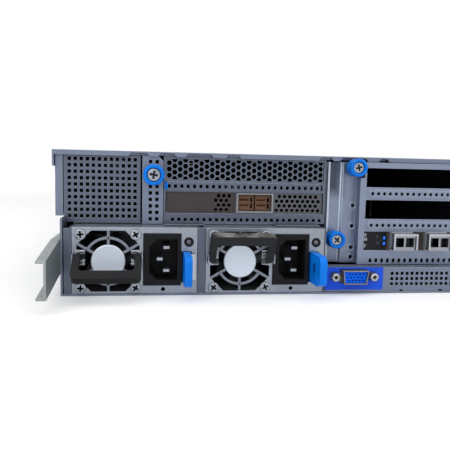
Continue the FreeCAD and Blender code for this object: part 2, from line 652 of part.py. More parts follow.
def middle_riser():
    """Folded cage of the visible riser: stepped screw flange and slot panel."""
    a, ridge = across(FLANGE_LEFT), across(FLANGE_RIDGE)
    b, c = across(SLOT_PANEL_LEFT), across(SLOT_PANEL_RIGHT)
    section = [(a, Y_MAIN), (ridge, Y_MAIN), (ridge + 0.8, Y_FLANGE), (b, Y_FLANGE), (b, Y_RISER),
               (c, Y_RISER), (c, Y_MAIN + MODULE_DEPTH), (c - THIN, Y_MAIN + MODULE_DEPTH),
               (c - THIN, Y_RISER + THIN), (b + THIN, Y_RISER + THIN), (b + THIN, Y_FLANGE + THIN),
               (ridge + 0.8, Y_FLANGE + THIN), (ridge, Y_MAIN + THIN), (a + THIN, Y_MAIN + THIN),
               (a + THIN, Y_MAIN + RISER_LEG), (a, Y_MAIN + RISER_LEG)]
    cage = prism(section, SLOT_PANEL_BOTTOM, Vector(0, 0, SLOT_PANEL_TOP - SLOT_PANEL_BOTTOM), "xy")
    slot_x = across(SLOT_LEFT)
    tools = [block(slot_x, slot_x + SLOT_WIDTH, Y_RISER - 1, Y_RISER + THIN + 1,
                   z - SLOT_HEIGHT / 2, z + SLOT_HEIGHT / 2) for z in slot_heights()]
    mids = [SLOT_TOP_Z - (k + 0.5) * SLOT_PITCH for k in range(2)]
    half = 2.4
    tools += [block(slot_x + 2.2, slot_x + SLOT_WIDTH - 1, Y_RISER - 1, Y_RISER + THIN + 1,
                    z - half + 0.8, z + half - 0.8) for z in mids]
    upper, lower = flange_screws()
    pocket_low, pocket_right = upper[1] - 6.5, slot_x - THIN
    tools.append(block(b - 1, pocket_right, Y_RISER - 1, Y_FLANGE, pocket_low, HEIGHT))
    pocket = [block(b, pocket_right + THIN, Y_FLANGE, Y_FLANGE + THIN, pocket_low - THIN,
                    SLOT_PANEL_TOP),
              block(pocket_right, pocket_right + 0.8, Y_RISER, Y_FLANGE + THIN, pocket_low - THIN,
                    SLOT_PANEL_TOP),
              block(b, pocket_right, Y_RISER, Y_FLANGE + THIN, pocket_low - THIN, pocket_low)]
    screw_holes = [rod_y(x, z, bore_radius(THUMB_STEM_R), y - 1, y + THIN + 1)
                   for (x, z), y in ((upper, Y_FLANGE), (lower, Y_MAIN))]
    hole_x = b - 1.9
    tools += [rod_y(hole_x, z, SCREW_HOLE_R, Y_FLANGE - 1, Y_FLANGE + THIN + 1)
              for z in (54.7, 41.4, 27.2, 20.9)]
    tools += [block(x - 0.95, x + 0.95, Y_RISER - 1, Y_RISER + THIN + 1, LOW_ROW_Z - 1.3,
                    LOW_ROW_Z + 1.3) for x in hole_row(slot_x + 5, SLOT_HOLE_PITCH, SLOT_HOLE_COUNT - 1)]
    cage = cut(cage, *tools)
    ribs = []
    for z in mids:
        y = Y_RISER - RIB_PROUD
        holes = [ngon_xz(x, z, SLOT_HOLE_R, y, 6)
                 for x in hole_row(slot_x + 4.2, SLOT_HOLE_PITCH, SLOT_HOLE_COUNT - 1)]
        ribs.append(rib_sheet(slot_x + 1.4, slot_x + SLOT_WIDTH - 0.2, z - half, z + half, y, holes))
    top = block(slot_x, c, Y_RISER, Y_MAIN + 6, SLOT_PANEL_TOP - THIN, SLOT_PANEL_TOP)
    return cut(fuse(cage, top, *pocket, *ribs), *screw_holes)


def right_slot_ends():
    """Left and right end of the slots of the second riser."""
    return (across(SLOT_PANEL_RIGHT) + SEAT + RIGHT_SLOT_MARGIN,
            across(RIGHT_RISER_RIGHT) - RIGHT_SLOT_END)


def right_riser():
    """Folded cage of the second riser, with the same three slots."""
    x0, x1 = across(SLOT_PANEL_RIGHT) + SEAT, across(RIGHT_RISER_RIGHT)
    section = [(x0, Y_RISER), (x1, Y_RISER), (x1, Y_MAIN + RISER_LEG), (x1 - THIN, Y_MAIN + RISER_LEG),
               (x1 - THIN, Y_RISER + THIN), (x0 + THIN, Y_RISER + THIN),
               (x0 + THIN, Y_MAIN + MODULE_DEPTH), (x0, Y_MAIN + MODULE_DEPTH)]
    cage = prism(section, SLOT_PANEL_BOTTOM, Vector(0, 0, SLOT_PANEL_TOP - SLOT_PANEL_BOTTOM), "xy")
    left, right = right_slot_ends()
    tools = [block(left, right, Y_RISER - 1, Y_RISER + THIN + 1, z - SLOT_HEIGHT / 2,
                   z + SLOT_HEIGHT / 2) for z in slot_heights()]
    pitch = (right - left) / RIGHT_VENT_COUNT
    inset = pitch * 0.15
    mids = [SLOT_TOP_Z - (k + 0.5) * SLOT_PITCH for k in range(2)]
    for z in mids + [LOW_ROW_Z]:
        tools += [block(x + inset, x + pitch - inset, Y_RISER - 1, Y_RISER + THIN + 1,
                        z - RIGHT_VENT_HEIGHT / 2, z + RIGHT_VENT_HEIGHT / 2)
                  for x in hole_row(left, pitch, RIGHT_VENT_COUNT)]
    screw_x, screw_z = right_screw()
    tools.append(rod_y(screw_x, screw_z, bore_radius(THUMB_STEM_R), Y_RISER - 1,
                       Y_RISER + THIN + 1))
    top = block(x0, x1, Y_RISER, Y_MAIN + 6, SLOT_PANEL_TOP - THIN, SLOT_PANEL_TOP)
    return fuse(cut(cage, *tools), top)


def right_screw():
    """Axis of the captive screw of the right riser, on its right margin."""
    return across(RIGHT_RISER_RIGHT) - RIGHT_SLOT_END * 0.7, SLOT_TOP_Z - SLOT_PITCH / 2


def slot_blanks():
    """Plain blanks behind the three slots of the right riser."""
    left, right = right_slot_ends()
    x0, x1 = left - BLANK_LAP, right + BLANK_LAP
    y = Y_RISER + THIN
    blanks = []
    for z in slot_heights():
        half = SLOT_HEIGHT / 2 + BLANK_LAP
        plate = block(x0, x1, y, y + THIN, z - half, z + half)
        pressing = block(x0 + 5, x1 - 5, y - 0.6, y, z - half + 3, z + half - 3)
        blanks.append(fuse(plate, pressing))
    return blanks


def network_card():
    """Card in the lowest visible slot: face plate, board and two module cages."""
    z = slot_heights()[2]
    x0 = across(SLOT_LEFT) - 1.0
    x1 = x0 + SLOT_WIDTH + 2.0
    y = Y_RISER + THIN
    low, high = z - SLOT_HEIGHT / 2 - 1.0, z + SLOT_HEIGHT / 2 + 1.0
    mouths = []
    cages = []
    for s in CAGE_X:
        cx = across(s)
        mouth = (cx - CAGE_WIDTH / 2, cx + CAGE_WIDTH / 2, z - CAGE_HEIGHT / 2, z + CAGE_HEIGHT / 2)
        mouths.append(rect_xz(*mouth, y))
        outer = rect_xz(*mouth, Y_RISER - 2.0)
        bore = rect_xz(mouth[0] + 0.4, mouth[1] - 0.4, mouth[2] + 0.4, mouth[3] - 0.4, Y_RISER - 2.0)
        cages.append(sheet_xz(outer, [bore], Y_RISER - 2.0, CAGE_LENGTH))
    face = sheet_xz(rect_xz(x0, x1, low, high, y), mouths, y, THIN)
    seat = z - CAGE_HEIGHT / 2
    board = block(x0 + 3, x1 - 3, y + THIN, y + THIN + CARD_LENGTH, low, seat)
    return fuse(face, *cages), board


def transceiver(s):
    """Pluggable module with two square mouths for a duplex connector."""
    z = slot_heights()[2]
    cx = across(s)
    half_w = CAGE_WIDTH / 2 - 0.4 - RUNNING
    half_h = CAGE_HEIGHT / 2 - 0.4 - RUNNING
    y0 = Y_RISER - MODULE_PROUD
    body = block(cx - half_w, cx + half_w, y0, y0 + 48.0, z - half_h, z + half_h)
    mouths = [block(cx + side * 3.35 - 2.7, cx + side * 3.35 + 2.7, y0 - 1, y0 + 8.0,
                    z - 3.1, z + 2.9) for side in (-1, 1)]
    ears = rod_x(y0 + 2.2, z - half_h + 1.2, bore_radius(BAIL_R), cx - half_w - 1,
                 cx + half_w + 1)
    return cut(body, ears, *mouths)


def bail(s):
    """Wire bail that folds over the mouth of a module and swings down."""
    z = slot_heights()[2]
    cx = across(s)
    half_w = CAGE_WIDTH / 2 - 0.4 - RUNNING
    half_h = CAGE_HEIGHT / 2 - 0.4 - RUNNING
    y0 = Y_RISER - MODULE_PROUD
    pivot_y, pivot_z = y0 + 2.2, z - half_h + 1.2
    top = z + half_h - 0.6
    out = y0 - BAIL_R - SEAT
    arm_x = half_w + BAIL_R + 0.15
    pins = rod_x(pivot_y, pivot_z, BAIL_R, cx - arm_x, cx + arm_x)
    arms = []
    for side in (-1, 1):
        x = cx + side * arm_x
        arms.append(block(x - BAIL_R * 0.8, x + BAIL_R * 0.8, out - BAIL_R, pivot_y + BAIL_R,
                          pivot_z - BAIL_R, pivot_z + BAIL_R))
        arms.append(block(x - BAIL_R * 0.8, x + BAIL_R * 0.8, out - BAIL_R, out + BAIL_R * 0.8,
                          pivot_z - BAIL_R, top + BAIL_R))
    bar = block(cx - arm_x, cx + arm_x, out - BAIL_R, out + BAIL_R * 0.8, top - BAIL_R, top + BAIL_R)
    return fuse(pins, bar, *arms)


# ---------------------------------------------------------------- I/O strip
def io_strip():
    """Box-shaped strip along the bottom: face with ports and grid, shelf on top."""
    x0, x1 = across(STRIP_LEFT), across(RIGHT_RISER_RIGHT)
    grid_x = hole_row(across(GRID_LEFT), GRID_PITCH, GRID_COLUMNS)
    holes = [hole_xz(x, GRID_Z + k * GRID_PITCH, GRID_HOLE, GRID_HOLE, Y_REAR)
             for x in grid_x for k in range(GRID_ROWS)]
    holes.append(hole_xz(across(VGA_X), VGA_Z, 17.4, 9.0, Y_REAR))
    holes += [hole_xz(x, z, w + 2 * COVER_GAP, h + 2 * COVER_GAP, Y_REAR)
              for x, z, w, h, depth in port_places()]
    face = sheet_xz(rect_xz(x0, x1, STRIP_BOTTOM, STRIP_TOP, Y_REAR), holes, Y_REAR, THIN)
    shelf = block(x0, x1, Y_REAR, Y_RISER + THIN, STRIP_TOP - THIN, STRIP_TOP)
    shelf_holes = [block(x - SHELF_HOLE, x + SHELF_HOLE, Y_REAR + 4, Y_REAR + 4 + 2 * SHELF_HOLE,
                         STRIP_TOP - THIN - 1, STRIP_TOP + 1)
                   for x in hole_row(across(GRID_LEFT) + 3, 3.6, 12)]
    notches = [block(x - 1.2, x + 1.2, Y_REAR - 1, Y_REAR + THIN + 1, STRIP_BOTTOM - 1,
                     STRIP_BOTTOM + 1.0) for x in (across(218.0), across(244.6))]
    cheeks = [block(x, x + THIN, Y_REAR, Y_RISER + THIN, STRIP_BOTTOM, STRIP_TOP)
              for x in (x0, x1 - THIN)]
    return cut(fuse(face, shelf, *cheeks), *(shelf_holes + notches))


def vga_plate():
    """Blue face plate around the video connector."""
    x0, x1 = across(STRIP_LEFT), across(VGA_PLATE_RIGHT)
    y = Y_REAR - 0.6
    holes = [hole_xz(across(VGA_X), VGA_Z, 17.4, 9.0, y)]
    holes += [ngon_xz(across(VGA_X) + side * VGA_SCREWS / 2, VGA_Z, 3.0, y, 6) for side in (-1, 1)]
    return sheet_xz(rect_xz(x0, x1, STRIP_BOTTOM + 1.2, STRIP_TOP, y), holes, y, 0.6)


def vga_connector():
    """D-shaped shell with its insert, and two hexagonal jackscrews."""
    cx = across(VGA_X)
    y0 = Y_REAR - 6.0
    shell = sheet_xz(vga_outline(8.2, 4.18, y0), [vga_outline(7.8, 3.78, y0)], y0, 10.0)
    insert = sheet_xz(vga_outline(7.8, 3.78, y0 + 2.2), [], y0 + 2.2, 6.0)
    body = block(cx - 15.4, cx + 15.4, Y_REAR + THIN + SEAT, Y_REAR + 12, BOARD_TOP + SEAT,
                 STRIP_TOP - THIN - SEAT)
    jacks = []
    for side in (-1, 1):
        x = cx + side * VGA_SCREWS / 2
        head = sheet_xz(ngon_xz(x, VGA_Z, 2.75, Y_REAR - 5.0, 6),
                        [ngon_xz(x, VGA_Z, 1.25, Y_REAR - 5.0, 8)], Y_REAR - 5.0, 5.0)
        jacks.append(head)
    return fuse(shell, insert, body), *jacks


def vga_outline(half_top, half_h, y):
    """D-shaped outline, one millimetre narrower at the bottom of each side."""
    cx = across(VGA_X)
    half_low = half_top - 1.0
    return wire_xz([(cx - half_low, VGA_Z - half_h), (cx + half_low, VGA_Z - half_h),
                    (cx + half_top, VGA_Z + half_h), (cx - half_top, VGA_Z + half_h)], y)


def port_places():
    """Centre, width, height and depth of each port shell; all stand on the board."""
    usb = [(across(s), BOARD_TOP + SEAT + USB_SHELL[1] / 2, *USB_SHELL, 16.0) for s in USB_X]
    lan = [(across(s), BOARD_TOP + SEAT + LAN_SHELL[1] / 2, *LAN_SHELL, 21.0) for s in LAN_X]
    return usb + lan


def io_ports():
    """Shells of the stacked USB and the two network jacks."""
    shells = []
    for x, z, w, h, depth in port_places():
        outer = block(x - w / 2, x + w / 2, Y_REAR - 0.6, Y_REAR + depth, z - h / 2, z + h / 2)
        mouth = block(x - w / 2 + 0.5, x + w / 2 - 0.5, Y_REAR - 1, Y_REAR + depth - 3,
                      z - h / 2 + 0.5, z + h / 2 - 0.5)
        shells.append(cut(outer, mouth))
    return shells


# ----------------------------------------------------------- power supplies
def psu_bay():
    """Two cells: outer walls, folded divider between them and a deck on top."""
    y1 = Y_REAR + PSU_LENGTH + 2.0
    left = across(PSU_LEFT[0]) - SEAT - BAY_WALL
    div0 = across(PSU_LEFT[0] + PSU_WIDTH) + SEAT
    div1 = across(PSU_LEFT[1]) - SEAT
    right = across(PSU_LEFT[1] + PSU_WIDTH) + SEAT
    floor = SHEET
    left_wall = block(left, left + BAY_WALL, Y_REAR, y1, floor, DECK_Z)
    left_flange = block(across(BAY_LEFT), left, Y_REAR, Y_REAR + BAY_WALL, floor + 3.4, DECK_Z - 1)
    walls = [block(x, x + BAY_WALL, Y_REAR, y1, floor, DECK_Z)
             for x in (div0, div1 - BAY_WALL, right)]
    divider_face = block(div0, div1, Y_REAR, Y_REAR + BAY_WALL, floor, DECK_Z)
    deck = block(left, right + BAY_WALL, Y_MAIN, y1, DECK_Z, DECK_TOP)
    lips = [block(across(a), across(b), Y_MAIN - DECK_OVERHANG, Y_MAIN, DECK_Z, DECK_TOP)
            for a, b in ((MIDDLE_LEFT, PSU_LEFT[1] - SEAT), (136.7, 165.5))]
    return fuse(left_wall, left_flange, divider_face, deck, *walls, *lips)


def psu_origin(index):
    """Left edge and underside of a power supply at rest."""
    return across(PSU_LEFT[index]), PSU_Z


def fan_opening(x, z, y):
    """Octagonal opening around the fan, leaving a gusset at each screw."""
    h, g = FAN_OPENING / 2, FAN_GUSSET
    return wire_xz([(x - h + g, z - h), (x + h - g, z - h), (x + h, z - h + g), (x + h, z + h - g),
                    (x + h - g, z + h), (x - h + g, z + h), (x - h, z + h - g), (x - h, z - h + g)], y)


def psu_case(index):
    """Steel case with the fan opening, the inlet opening and the latch window."""
    x0, z0 = psu_origin(index)
    x1, z1 = x0 + PSU_WIDTH, z0 + PSU_HEIGHT
    y1 = Y_REAR + PSU_LENGTH
    shell = cut(block(x0, x1, Y_REAR, y1, z0, z1),
                block(x0 + PSU_WALL, x1 - PSU_WALL, Y_REAR - 1, y1 - PSU_WALL,
                      z0 + PSU_WALL, z1 - PSU_WALL))
    fan_x, fan_z = x0 + FAN_X, z0 + FAN_Z
    inlet = rect_xz(x0 + INLET_LEFT, x0 + INLET_LEFT + INLET_WIDTH, z0 + INLET_Z,
                    z0 + INLET_Z + INLET_HEIGHT, Y_REAR)
    boss = ngon_xz(x0 + 53.2, z0 + 2.4, 1.3, Y_REAR, 8)
    led = ngon_xz(x0 + 68.4, z0 + 31.0, LED_R, Y_REAR, KNOB_COUNT)
    latch_low, latch_high = z0 + LATCH_Z, z0 + LATCH_Z + LATCH_HEIGHT
    latch_x = x0 + LATCH_LEFT
    window = rect_xz(latch_x - 0.9, latch_x + LATCH_THICK + 0.9, latch_low - SEAT,
                     latch_high + SEAT, Y_REAR)
    face = sheet_xz(rect_xz(x0 + 0.4, x1 - 0.4, z0 + 0.4, z1 - 0.4, Y_REAR),
                    [fan_opening(fan_x, fan_z, Y_REAR), inlet, boss, led, window], Y_REAR,
                    PSU_FACE)
    tongue = block(x0 + 20, x1 - 14, y1, y1 + TONGUE, z0 + 17, z0 + 17 + BOARD)
    lugs = []
    for side in (-1, 1):
        near = fan_x + side * (HANDLE_WIDTH / 2 + COVER_GAP)
        far = near + side * LUG
        lugs.append(block(min(near, far), max(near, far), Y_REAR - HANDLE_PIN_OUT - 2.6,
                          Y_REAR + PSU_FACE, z0 + HANDLE_PIN_Z - 2.8, z0 + HANDLE_PIN_Z + 2.8))
    pin_x = latch_x + LATCH_THICK / 2
    pin_y = Y_REAR + LATCH_PIN_IN
    for low in (latch_low - SEAT - 2.0, latch_high + SEAT):
        lugs.append(block(pin_x - 2.6, pin_x + 2.6, Y_REAR, pin_y + 2.6, low, low + 2.0))
    handle_bore = rod_x(Y_REAR - HANDLE_PIN_OUT, z0 + HANDLE_PIN_Z, bore_radius(HANDLE_PIN_R),
                        x0 - 1, x0 + INLET_LEFT)
    latch_bore = rod_z(pin_x, pin_y, bore_radius(LATCH_PIN_R), latch_low - 3, latch_high + 3)
    return cut(fuse(shell, face, tongue, *lugs), handle_bore, latch_bore)


def psu_grille(index):
    """Finger guard: hub disc, ring and six spokes, with the fan's bearing post."""
    x0, z0 = psu_origin(index)
    x, z = x0 + FAN_X, z0 + FAN_Z
    y = Y_REAR
    hub = rod_y(x, z, HUB_R, y - 0.8, y + 2.2, FINE_COUNT)
    arcs = cut(rod_y(x, z, RING_R + RING_W / 2, y, y + 1.6, FINE_COUNT),
               rod_y(x, z, RING_R - RING_W / 2, y - 1, y + 3, FINE_COUNT),
               *[side_gap(x, z, y, side) for side in (-1, 1)])
    opening = sheet_xz(fan_opening(x, z, y), [], y, 1.6)
    spokes = []
    for angle in SPOKE_ANGLES:
        spoke = block(HUB_R - 1, 30.0, 0, 1.6, -SPOKE_W / 2, SPOKE_W / 2)
        spoke.rotate(Vector(0, 0, 0), Vector(0, 1, 0), -angle)
        spoke.translate(Vector(x, y, z))
        spokes.append(spoke.common(opening))
    post = rod_y(x, z, 1.5, y + 2.0, y + 12.0)
    return fuse(hub, arcs, post, *spokes)


def side_gap(x, z, y, side):
    """The ring is open between the two spokes of each side."""
    reach = 40.0
    spread = math.tan(math.radians(30)) * reach
    points = [(x, z), (x + side * reach, z - spread), (x + side * reach, z + spread)]
    return prism(points, y - 1, Vector(0, 4, 0), "xz")


def psu_rotor(index):
    """Fan rotor: hub cup on the bearing post, with seven pitched blades."""
    x0, z0 = psu_origin(index)
    x, z = x0 + FAN_X, z0 + FAN_Z
    y0 = Y_REAR + 2.6
    return fan_rotor(x, y0, z, ROTOR_HUB_R, ROTOR_R, 14.0, 1.5, 7)


def fan_rotor(x, y0, z, hub_r, tip_r, depth, post_r, blades):
    hub = rod_y(x, z, hub_r, y0, y0 + depth, KNOB_COUNT)
    vanes = []
    for k in range(blades):
        vane = block(hub_r * 0.9, tip_r, -depth * 0.42, depth * 0.42, -0.5, 0.5)
        vane.rotate(Vector(0, 0, 0), Vector(1, 0, 0), 38)
        vane.rotate(Vector(0, 0, 0), Vector(0, 1, 0), 360.0 * k / blades)
        vane.translate(Vector(x, y0 + depth / 2, z))
        vanes.append(vane)
    bore = rod_y(x, z, bore_radius(post_r), y0 - 1, y0 + depth + 1)
    return cut(fuse(hub, *vanes), bore)


def psu_inlet(index):
    """Appliance inlet: black body with the keyed socket, and its three pins."""
    x0, z0 = psu_origin(index)
    left, low = x0 + INLET_LEFT, z0 + INLET_Z
    gap = 0.15
    flange = block(left + gap, left + INLET_WIDTH - gap, Y_REAR - 1.2, Y_REAR + SOCKET_DEPTH + 5,
                   low + gap, low + INLET_HEIGHT - gap)
    sx0 = x0 + SOCKET_LEFT
    sx1 = sx0 + SOCKET_WIDTH
    sz0 = low + (INLET_HEIGHT - SOCKET_HEIGHT) / 2
    sz1 = sz0 + SOCKET_HEIGHT
    c = SOCKET_CHAMFER
    socket = prism([(sx0 + c, sz0), (sx1, sz0), (sx1, sz1), (sx0 + c, sz1), (sx0, sz1 - c),
                    (sx0, sz0 + c)], Y_REAR - 2, Vector(0, SOCKET_DEPTH + 2, 0), "xz")
    middle = (sz0 + sz1) / 2
    pins = []
    for dx, dz in ((6.2, 0.0), (10.2, 7.0), (10.2, -7.0)):
        pins.append(block(sx0 + dx - 2.0, sx0 + dx + 2.0, Y_REAR + 1.5, Y_REAR + SOCKET_DEPTH,
                          middle + dz - 1.0, middle + dz + 1.0))
    return cut(flange, socket), *pins


def psu_handle(index):
    """Bail handle: a bar on two arms, each with its pivot pin."""
    x0, z0 = psu_origin(index)
    cx = x0 + FAN_X
    half = HANDLE_WIDTH / 2
    reach, bar, thick = HANDLE_REACH, HANDLE_BAR, HANDLE_THICK
    corner = 3.4
    outline = [(cx - half, 2.2), (cx - half, reach - corner), (cx - half + corner, reach),
               (cx + half - corner, reach), (cx + half, reach - corner), (cx + half, 2.2),
               (cx + half - 1.6, 0 - 2.2), (cx + half - HANDLE_ARM, -2.2),
               (cx + half - HANDLE_ARM, reach - bar - 2), (cx + half - HANDLE_ARM - 2, reach - bar),
               (cx - half + HANDLE_ARM + 2, reach - bar), (cx - half + HANDLE_ARM, reach - bar - 2),
               (cx - half + HANDLE_ARM, -2.2), (cx - half + 1.6, -2.2)]
    bail_body = prism([(x, -r) for x, r in outline], -thick / 2, Vector(0, 0, thick), "xy")
    pins = []
    for side in (-1, 1):
        inner = cx + side * (half - 1.0)
        outer = cx + side * (half + COVER_GAP + LUG + 0.1)
        pins.append(rod_x(0, 0, HANDLE_PIN_R, min(outer, inner), max(outer, inner)))
    handle = fuse(bail_body, *pins)
    handle.rotate(Vector(0, 0, 0), Vector(1, 0, 0), -HANDLE_ANGLE[index])
    handle.translate(Vector(0, Y_REAR - HANDLE_PIN_OUT, z0 + HANDLE_PIN_Z))
    return handle


def psu_latch(index):
    """Release latch: an upright thumb plate that turns on a pin inside the face."""
    x0, z0 = psu_origin(index)
    left = x0 + LATCH_LEFT
    low, high = z0 + LATCH_Z, z0 + LATCH_Z + LATCH_HEIGHT
    y_out = Y_REAR - LATCH_REACH
    y_in = Y_REAR + LATCH_PIN_IN + 1.5
    outline = [(y_in, low), (y_out + 5, low), (y_out, low + 3), (y_out, high - 3), (y_out + 3, high),
               (y_in, high)]
    plate = prism(outline, left, Vector(LATCH_THICK, 0, 0), "yz")
    slot = block(left - 1, left + 1.0, y_out + 8, y_out + 10, low + 7, low + 13)
    spring = block(left + LATCH_THICK - 1, x0 + PSU_WIDTH - 0.9, Y_REAR - 2.4, Y_REAR - 1.6,
                   low + 1.6, high - 1)
    pin = rod_z(left + LATCH_THICK / 2, Y_REAR + LATCH_PIN_IN, LATCH_PIN_R, low - SEAT - 1.9,
                high + SEAT + 1.9)
    return fuse(cut(plate, slot), spring, pin)


# ------------------------------------------------------------- thumbscrews
def thumbscrew(x, z, y_seat, radius):
    """Captive screw: sleeve knob, screw head inside it and a stem through the sheet."""
    y0 = y_seat - KNOB_OUT
    knob = sheet_xz(ngon_xz(x, z, radius, y0, KNOB_COUNT), [ngon_xz(x, z, radius * 0.64, y0, KNOB_COUNT)],
                    y0, KNOB_OUT - KNOB_GAP)
    head = rod_y(x, z, radius * 0.66, y0 + 1.2, y_seat - SEAT, KNOB_COUNT)
    stem = rod_y(x, z, THUMB_STEM_R, y_seat - 1, y_seat + THIN + 3.0)
    return fuse(knob, head, stem)


# -------------------------------------------------------------- front half
def bay_cells():
    """Low corner of each drive bay, and the size of a bay."""
    low, high = SHEET + SEAT, WALL_TOP - SEAT
    width = (2 * CAGE_HALF - CAGE_WALL * (DRIVE_COLUMNS + 1)) / DRIVE_COLUMNS
    height = (high - low - CAGE_WALL * (DRIVE_ROWS + 1)) / DRIVE_ROWS
    corners = [(-CAGE_HALF + CAGE_WALL + i * (width + CAGE_WALL),
                low + CAGE_WALL + j * (height + CAGE_WALL))
               for j in range(DRIVE_ROWS) for i in range(DRIVE_COLUMNS)]
    return corners, width, height


def drive_cage():
    corners, width, height = bay_cells()
    y1 = Y_FRONT - DRIVE_FRONT
    y0 = y1 - DRIVE_CAGE_LENGTH
    body = block(-CAGE_HALF, CAGE_HALF, y0, y1, SHEET + SEAT, WALL_TOP - SEAT)
    return cut(body, *[block(x, x + width, y0 - 1, y1 + 1, z, z + height) for x, z in corners])


def carrier(index):
    """Drive carrier: face frame, tray and the drive in it."""
    corners, width, height = bay_cells()
    x, z = corners[index]
    x0, x1 = x + SEAT, x + width - SEAT
    z0, z1 = z + SEAT, z + height - SEAT
    y_face = Y_FRONT - DRIVE_FRONT
    face = block(x0, x1, y_face - 8, Y_FRONT - 3, z0, z1)
    recess = block(x0 + 6, x1 + 1, Y_FRONT - 5.5, Y_FRONT, z0 + 3, z1 - 3)
    vents = [block(vx, vx + 3.6, y_face - 9, Y_FRONT - 5, z0 + 4, z1 - 4)
             for vx in hole_row(x0 + 24, 9.0, 7)]
    y_tray = y_face - 8 - CARRIER_TRAY
    tray = cut(block(x0, x1, y_tray, y_face - 8, z0, z0 + 14),
               block(x0 + 1.5, x1 - 1.5, y_tray - 1, y_face - 9, z0 + 1.2, z1))
    drive = block(x0 + 1.8, x1 - 1.8, y_tray + 1, y_face - 10, z0 + 1.4, z1 - 1)
    pivot = rod_z(x1 - 3, Y_FRONT - 4.2, bore_radius(1.0), z0 - 1, z1 + 1)
    return cut(fuse(face, tray), recess, pivot, *vents), drive


def carrier_lever(index):
    """Release lever across the carrier's face, on an upright pin at its right end."""
    corners, width, height = bay_cells()
    x, z = corners[index]
    x0, x1 = x + SEAT, x + width - SEAT
    z0, z1 = z + SEAT, z + height - SEAT
    lever = block(x0 + 7, x1 - 3, Y_FRONT - 5.2, Y_FRONT - 3.2, z0 + 4, z1 - 4)
    slots = [block(sx, sx + 12, Y_FRONT - 6, Y_FRONT - 2, z0 + 7, z1 - 7)
             for sx in hole_row(x0 + 22, 16.0, 4)]
    pin = rod_z(x1 - 3, Y_FRONT - 4.2, 1.0, z0, z1)
    return fuse(cut(lever, *slots), pin)


CARRIERS = (0, 1)


def bay_blanks():
    """Empty bays are closed by blanks with a shallow recess."""
    corners, width, height = bay_cells()
    blanks = []
    for index, (x, z) in enumerate(corners):
        if index in CARRIERS:
            continue
        x0, x1 = x + SEAT, x + width - SEAT
        z0, z1 = z + SEAT, z + height - SEAT
        body = block(x0, x1, Y_FRONT - 24, Y_FRONT - 3, z0, z1)
        inside = block(x0 + 1.5, x1 - 1.5, Y_FRONT - 25, Y_FRONT - 5, z0 + 1.5, z1 - 1.5)
        blanks.append(cut(body, inside))
    return blanks


def backplane():
    y1 = Y_FRONT - DRIVE_FRONT - DRIVE_CAGE_LENGTH - SEAT
    board = block(-CAGE_HALF, CAGE_HALF, y1 - BOARD, y1, SHEET + SEAT, WALL_TOP - 4)
    corners, width, height = bay_cells()
    half_w, window_h = BACKPLANE_WINDOW[0] / 2, BACKPLANE_WINDOW[1]
    windows = [block(x + width / 2 - half_w, x + width / 2 + half_w, y1 - BOARD - 1, y1 + 1,
                     z - window_h / 2, z + window_h / 2) for x, z in corners[DRIVE_COLUMNS:]]
    return cut(board, *windows)


def fan_centres():
    first = -FAN_PITCH * (FAN_COUNT - 1) / 2
    return [first + k * FAN_PITCH for k in range(FAN_COUNT)]


def fan_frames():
    """Square fan frames with a round bore, three struts and a motor base."""
    y0 = FAN_Y
    z = FAN_SEAT_Z + FAN_FRAME / 2
    frames = []
    for x in fan_centres():
        half = FAN_FRAME / 2
        body = cut(block(x - half, x + half, y0, y0 + FAN_DEPTH, z - half, z + half),
                   rod_y(x, z, FAN_BORE_R, y0 - 1, y0 + FAN_DEPTH + 1, FINE_COUNT))
        base = rod_y(x, z, 16.0, y0, y0 + 3.0, KNOB_COUNT)
        struts = []
        for angle in (45, 165, 285):
            strut = block(10, FAN_BORE_R + 0.6, 0, 3.0, -1.5, 1.5)
            strut.rotate(Vector(0, 0, 0), Vector(0, 1, 0), -angle)
            strut.translate(Vector(x, y0, z))
            struts.append(strut)
        post = rod_y(x, z, 2.0, y0 + 2, y0 + 30)
        frames.append(fuse(body, base, post, *struts))
    return frames


def fan_bracket():
    """Sheet-metal seat of the fans: a floor strip with uprights between them."""
    y0 = FAN_Y
    floor = block(-CAGE_HALF, CAGE_HALF, y0 - 2, y0 + FAN_DEPTH + 2, SHEET, SHEET + THIN)
    gap = (FAN_PITCH - FAN_FRAME) / 2
    uprights = []
    for x in fan_centres():
        for side in (-1, 1):
            edge = x + side * (FAN_FRAME / 2 + SEAT)
            uprights.append(block(min(edge, edge + side * THIN), max(edge, edge + side * THIN),
                                  y0, y0 + FAN_DEPTH, SHEET, WALL_TOP - gap))
    return fuse(floor, *uprights)


def system_rotor(index):
    y0 = FAN_Y
    z = FAN_SEAT_Z + FAN_FRAME / 2
    return fan_rotor(fan_centres()[index], y0 + 3.5, z, 15.5, FAN_BORE_R - TIP_GAP, 26.0, 2.0, 5)


def cpu_centres():
    y = Y_FRONT - CPU_FROM_FRONT
    return [(-CPU_OFFSET, y), (CPU_OFFSET, y)]


def memory_places():
    """Left side and middle of each memory module."""
    places = []
    for x, y in cpu_centres():
        for side in (-1, 1):
            places += [(x + side * (MEMORY_OFFSET + MEMORY_PITCH * k), y) for k in range(3)]
    return places


def motherboard():
    """Main board with its memory sockets, clear of the power supply bay."""
    y0 = Y_REAR + THIN + SEAT
    y1 = FAN_Y - 10
    bay_x = across(PSU_LEFT[1] + PSU_WIDTH) + SEAT + BAY_WALL + 2
    bay_y = Y_REAR + PSU_LENGTH + 28
    board = block(-CAGE_HALF + 4, CAGE_HALF - 4, y0, y1, BOARD_Z, BOARD_Z + BOARD)
    board = cut(board, block(-CAGE_HALF, bay_x, y0 - 1, bay_y, 0, 20))
    top = BOARD_TOP
    sockets = [block(x - 3.2, x + 3.2, y - 71, y + 71, top, top + 8) for x, y in memory_places()]
    sockets += [block(x - 30, x + 30, y - 38, y + 38, top, top + 6) for x, y in cpu_centres()]
    return fuse(board, *sockets)


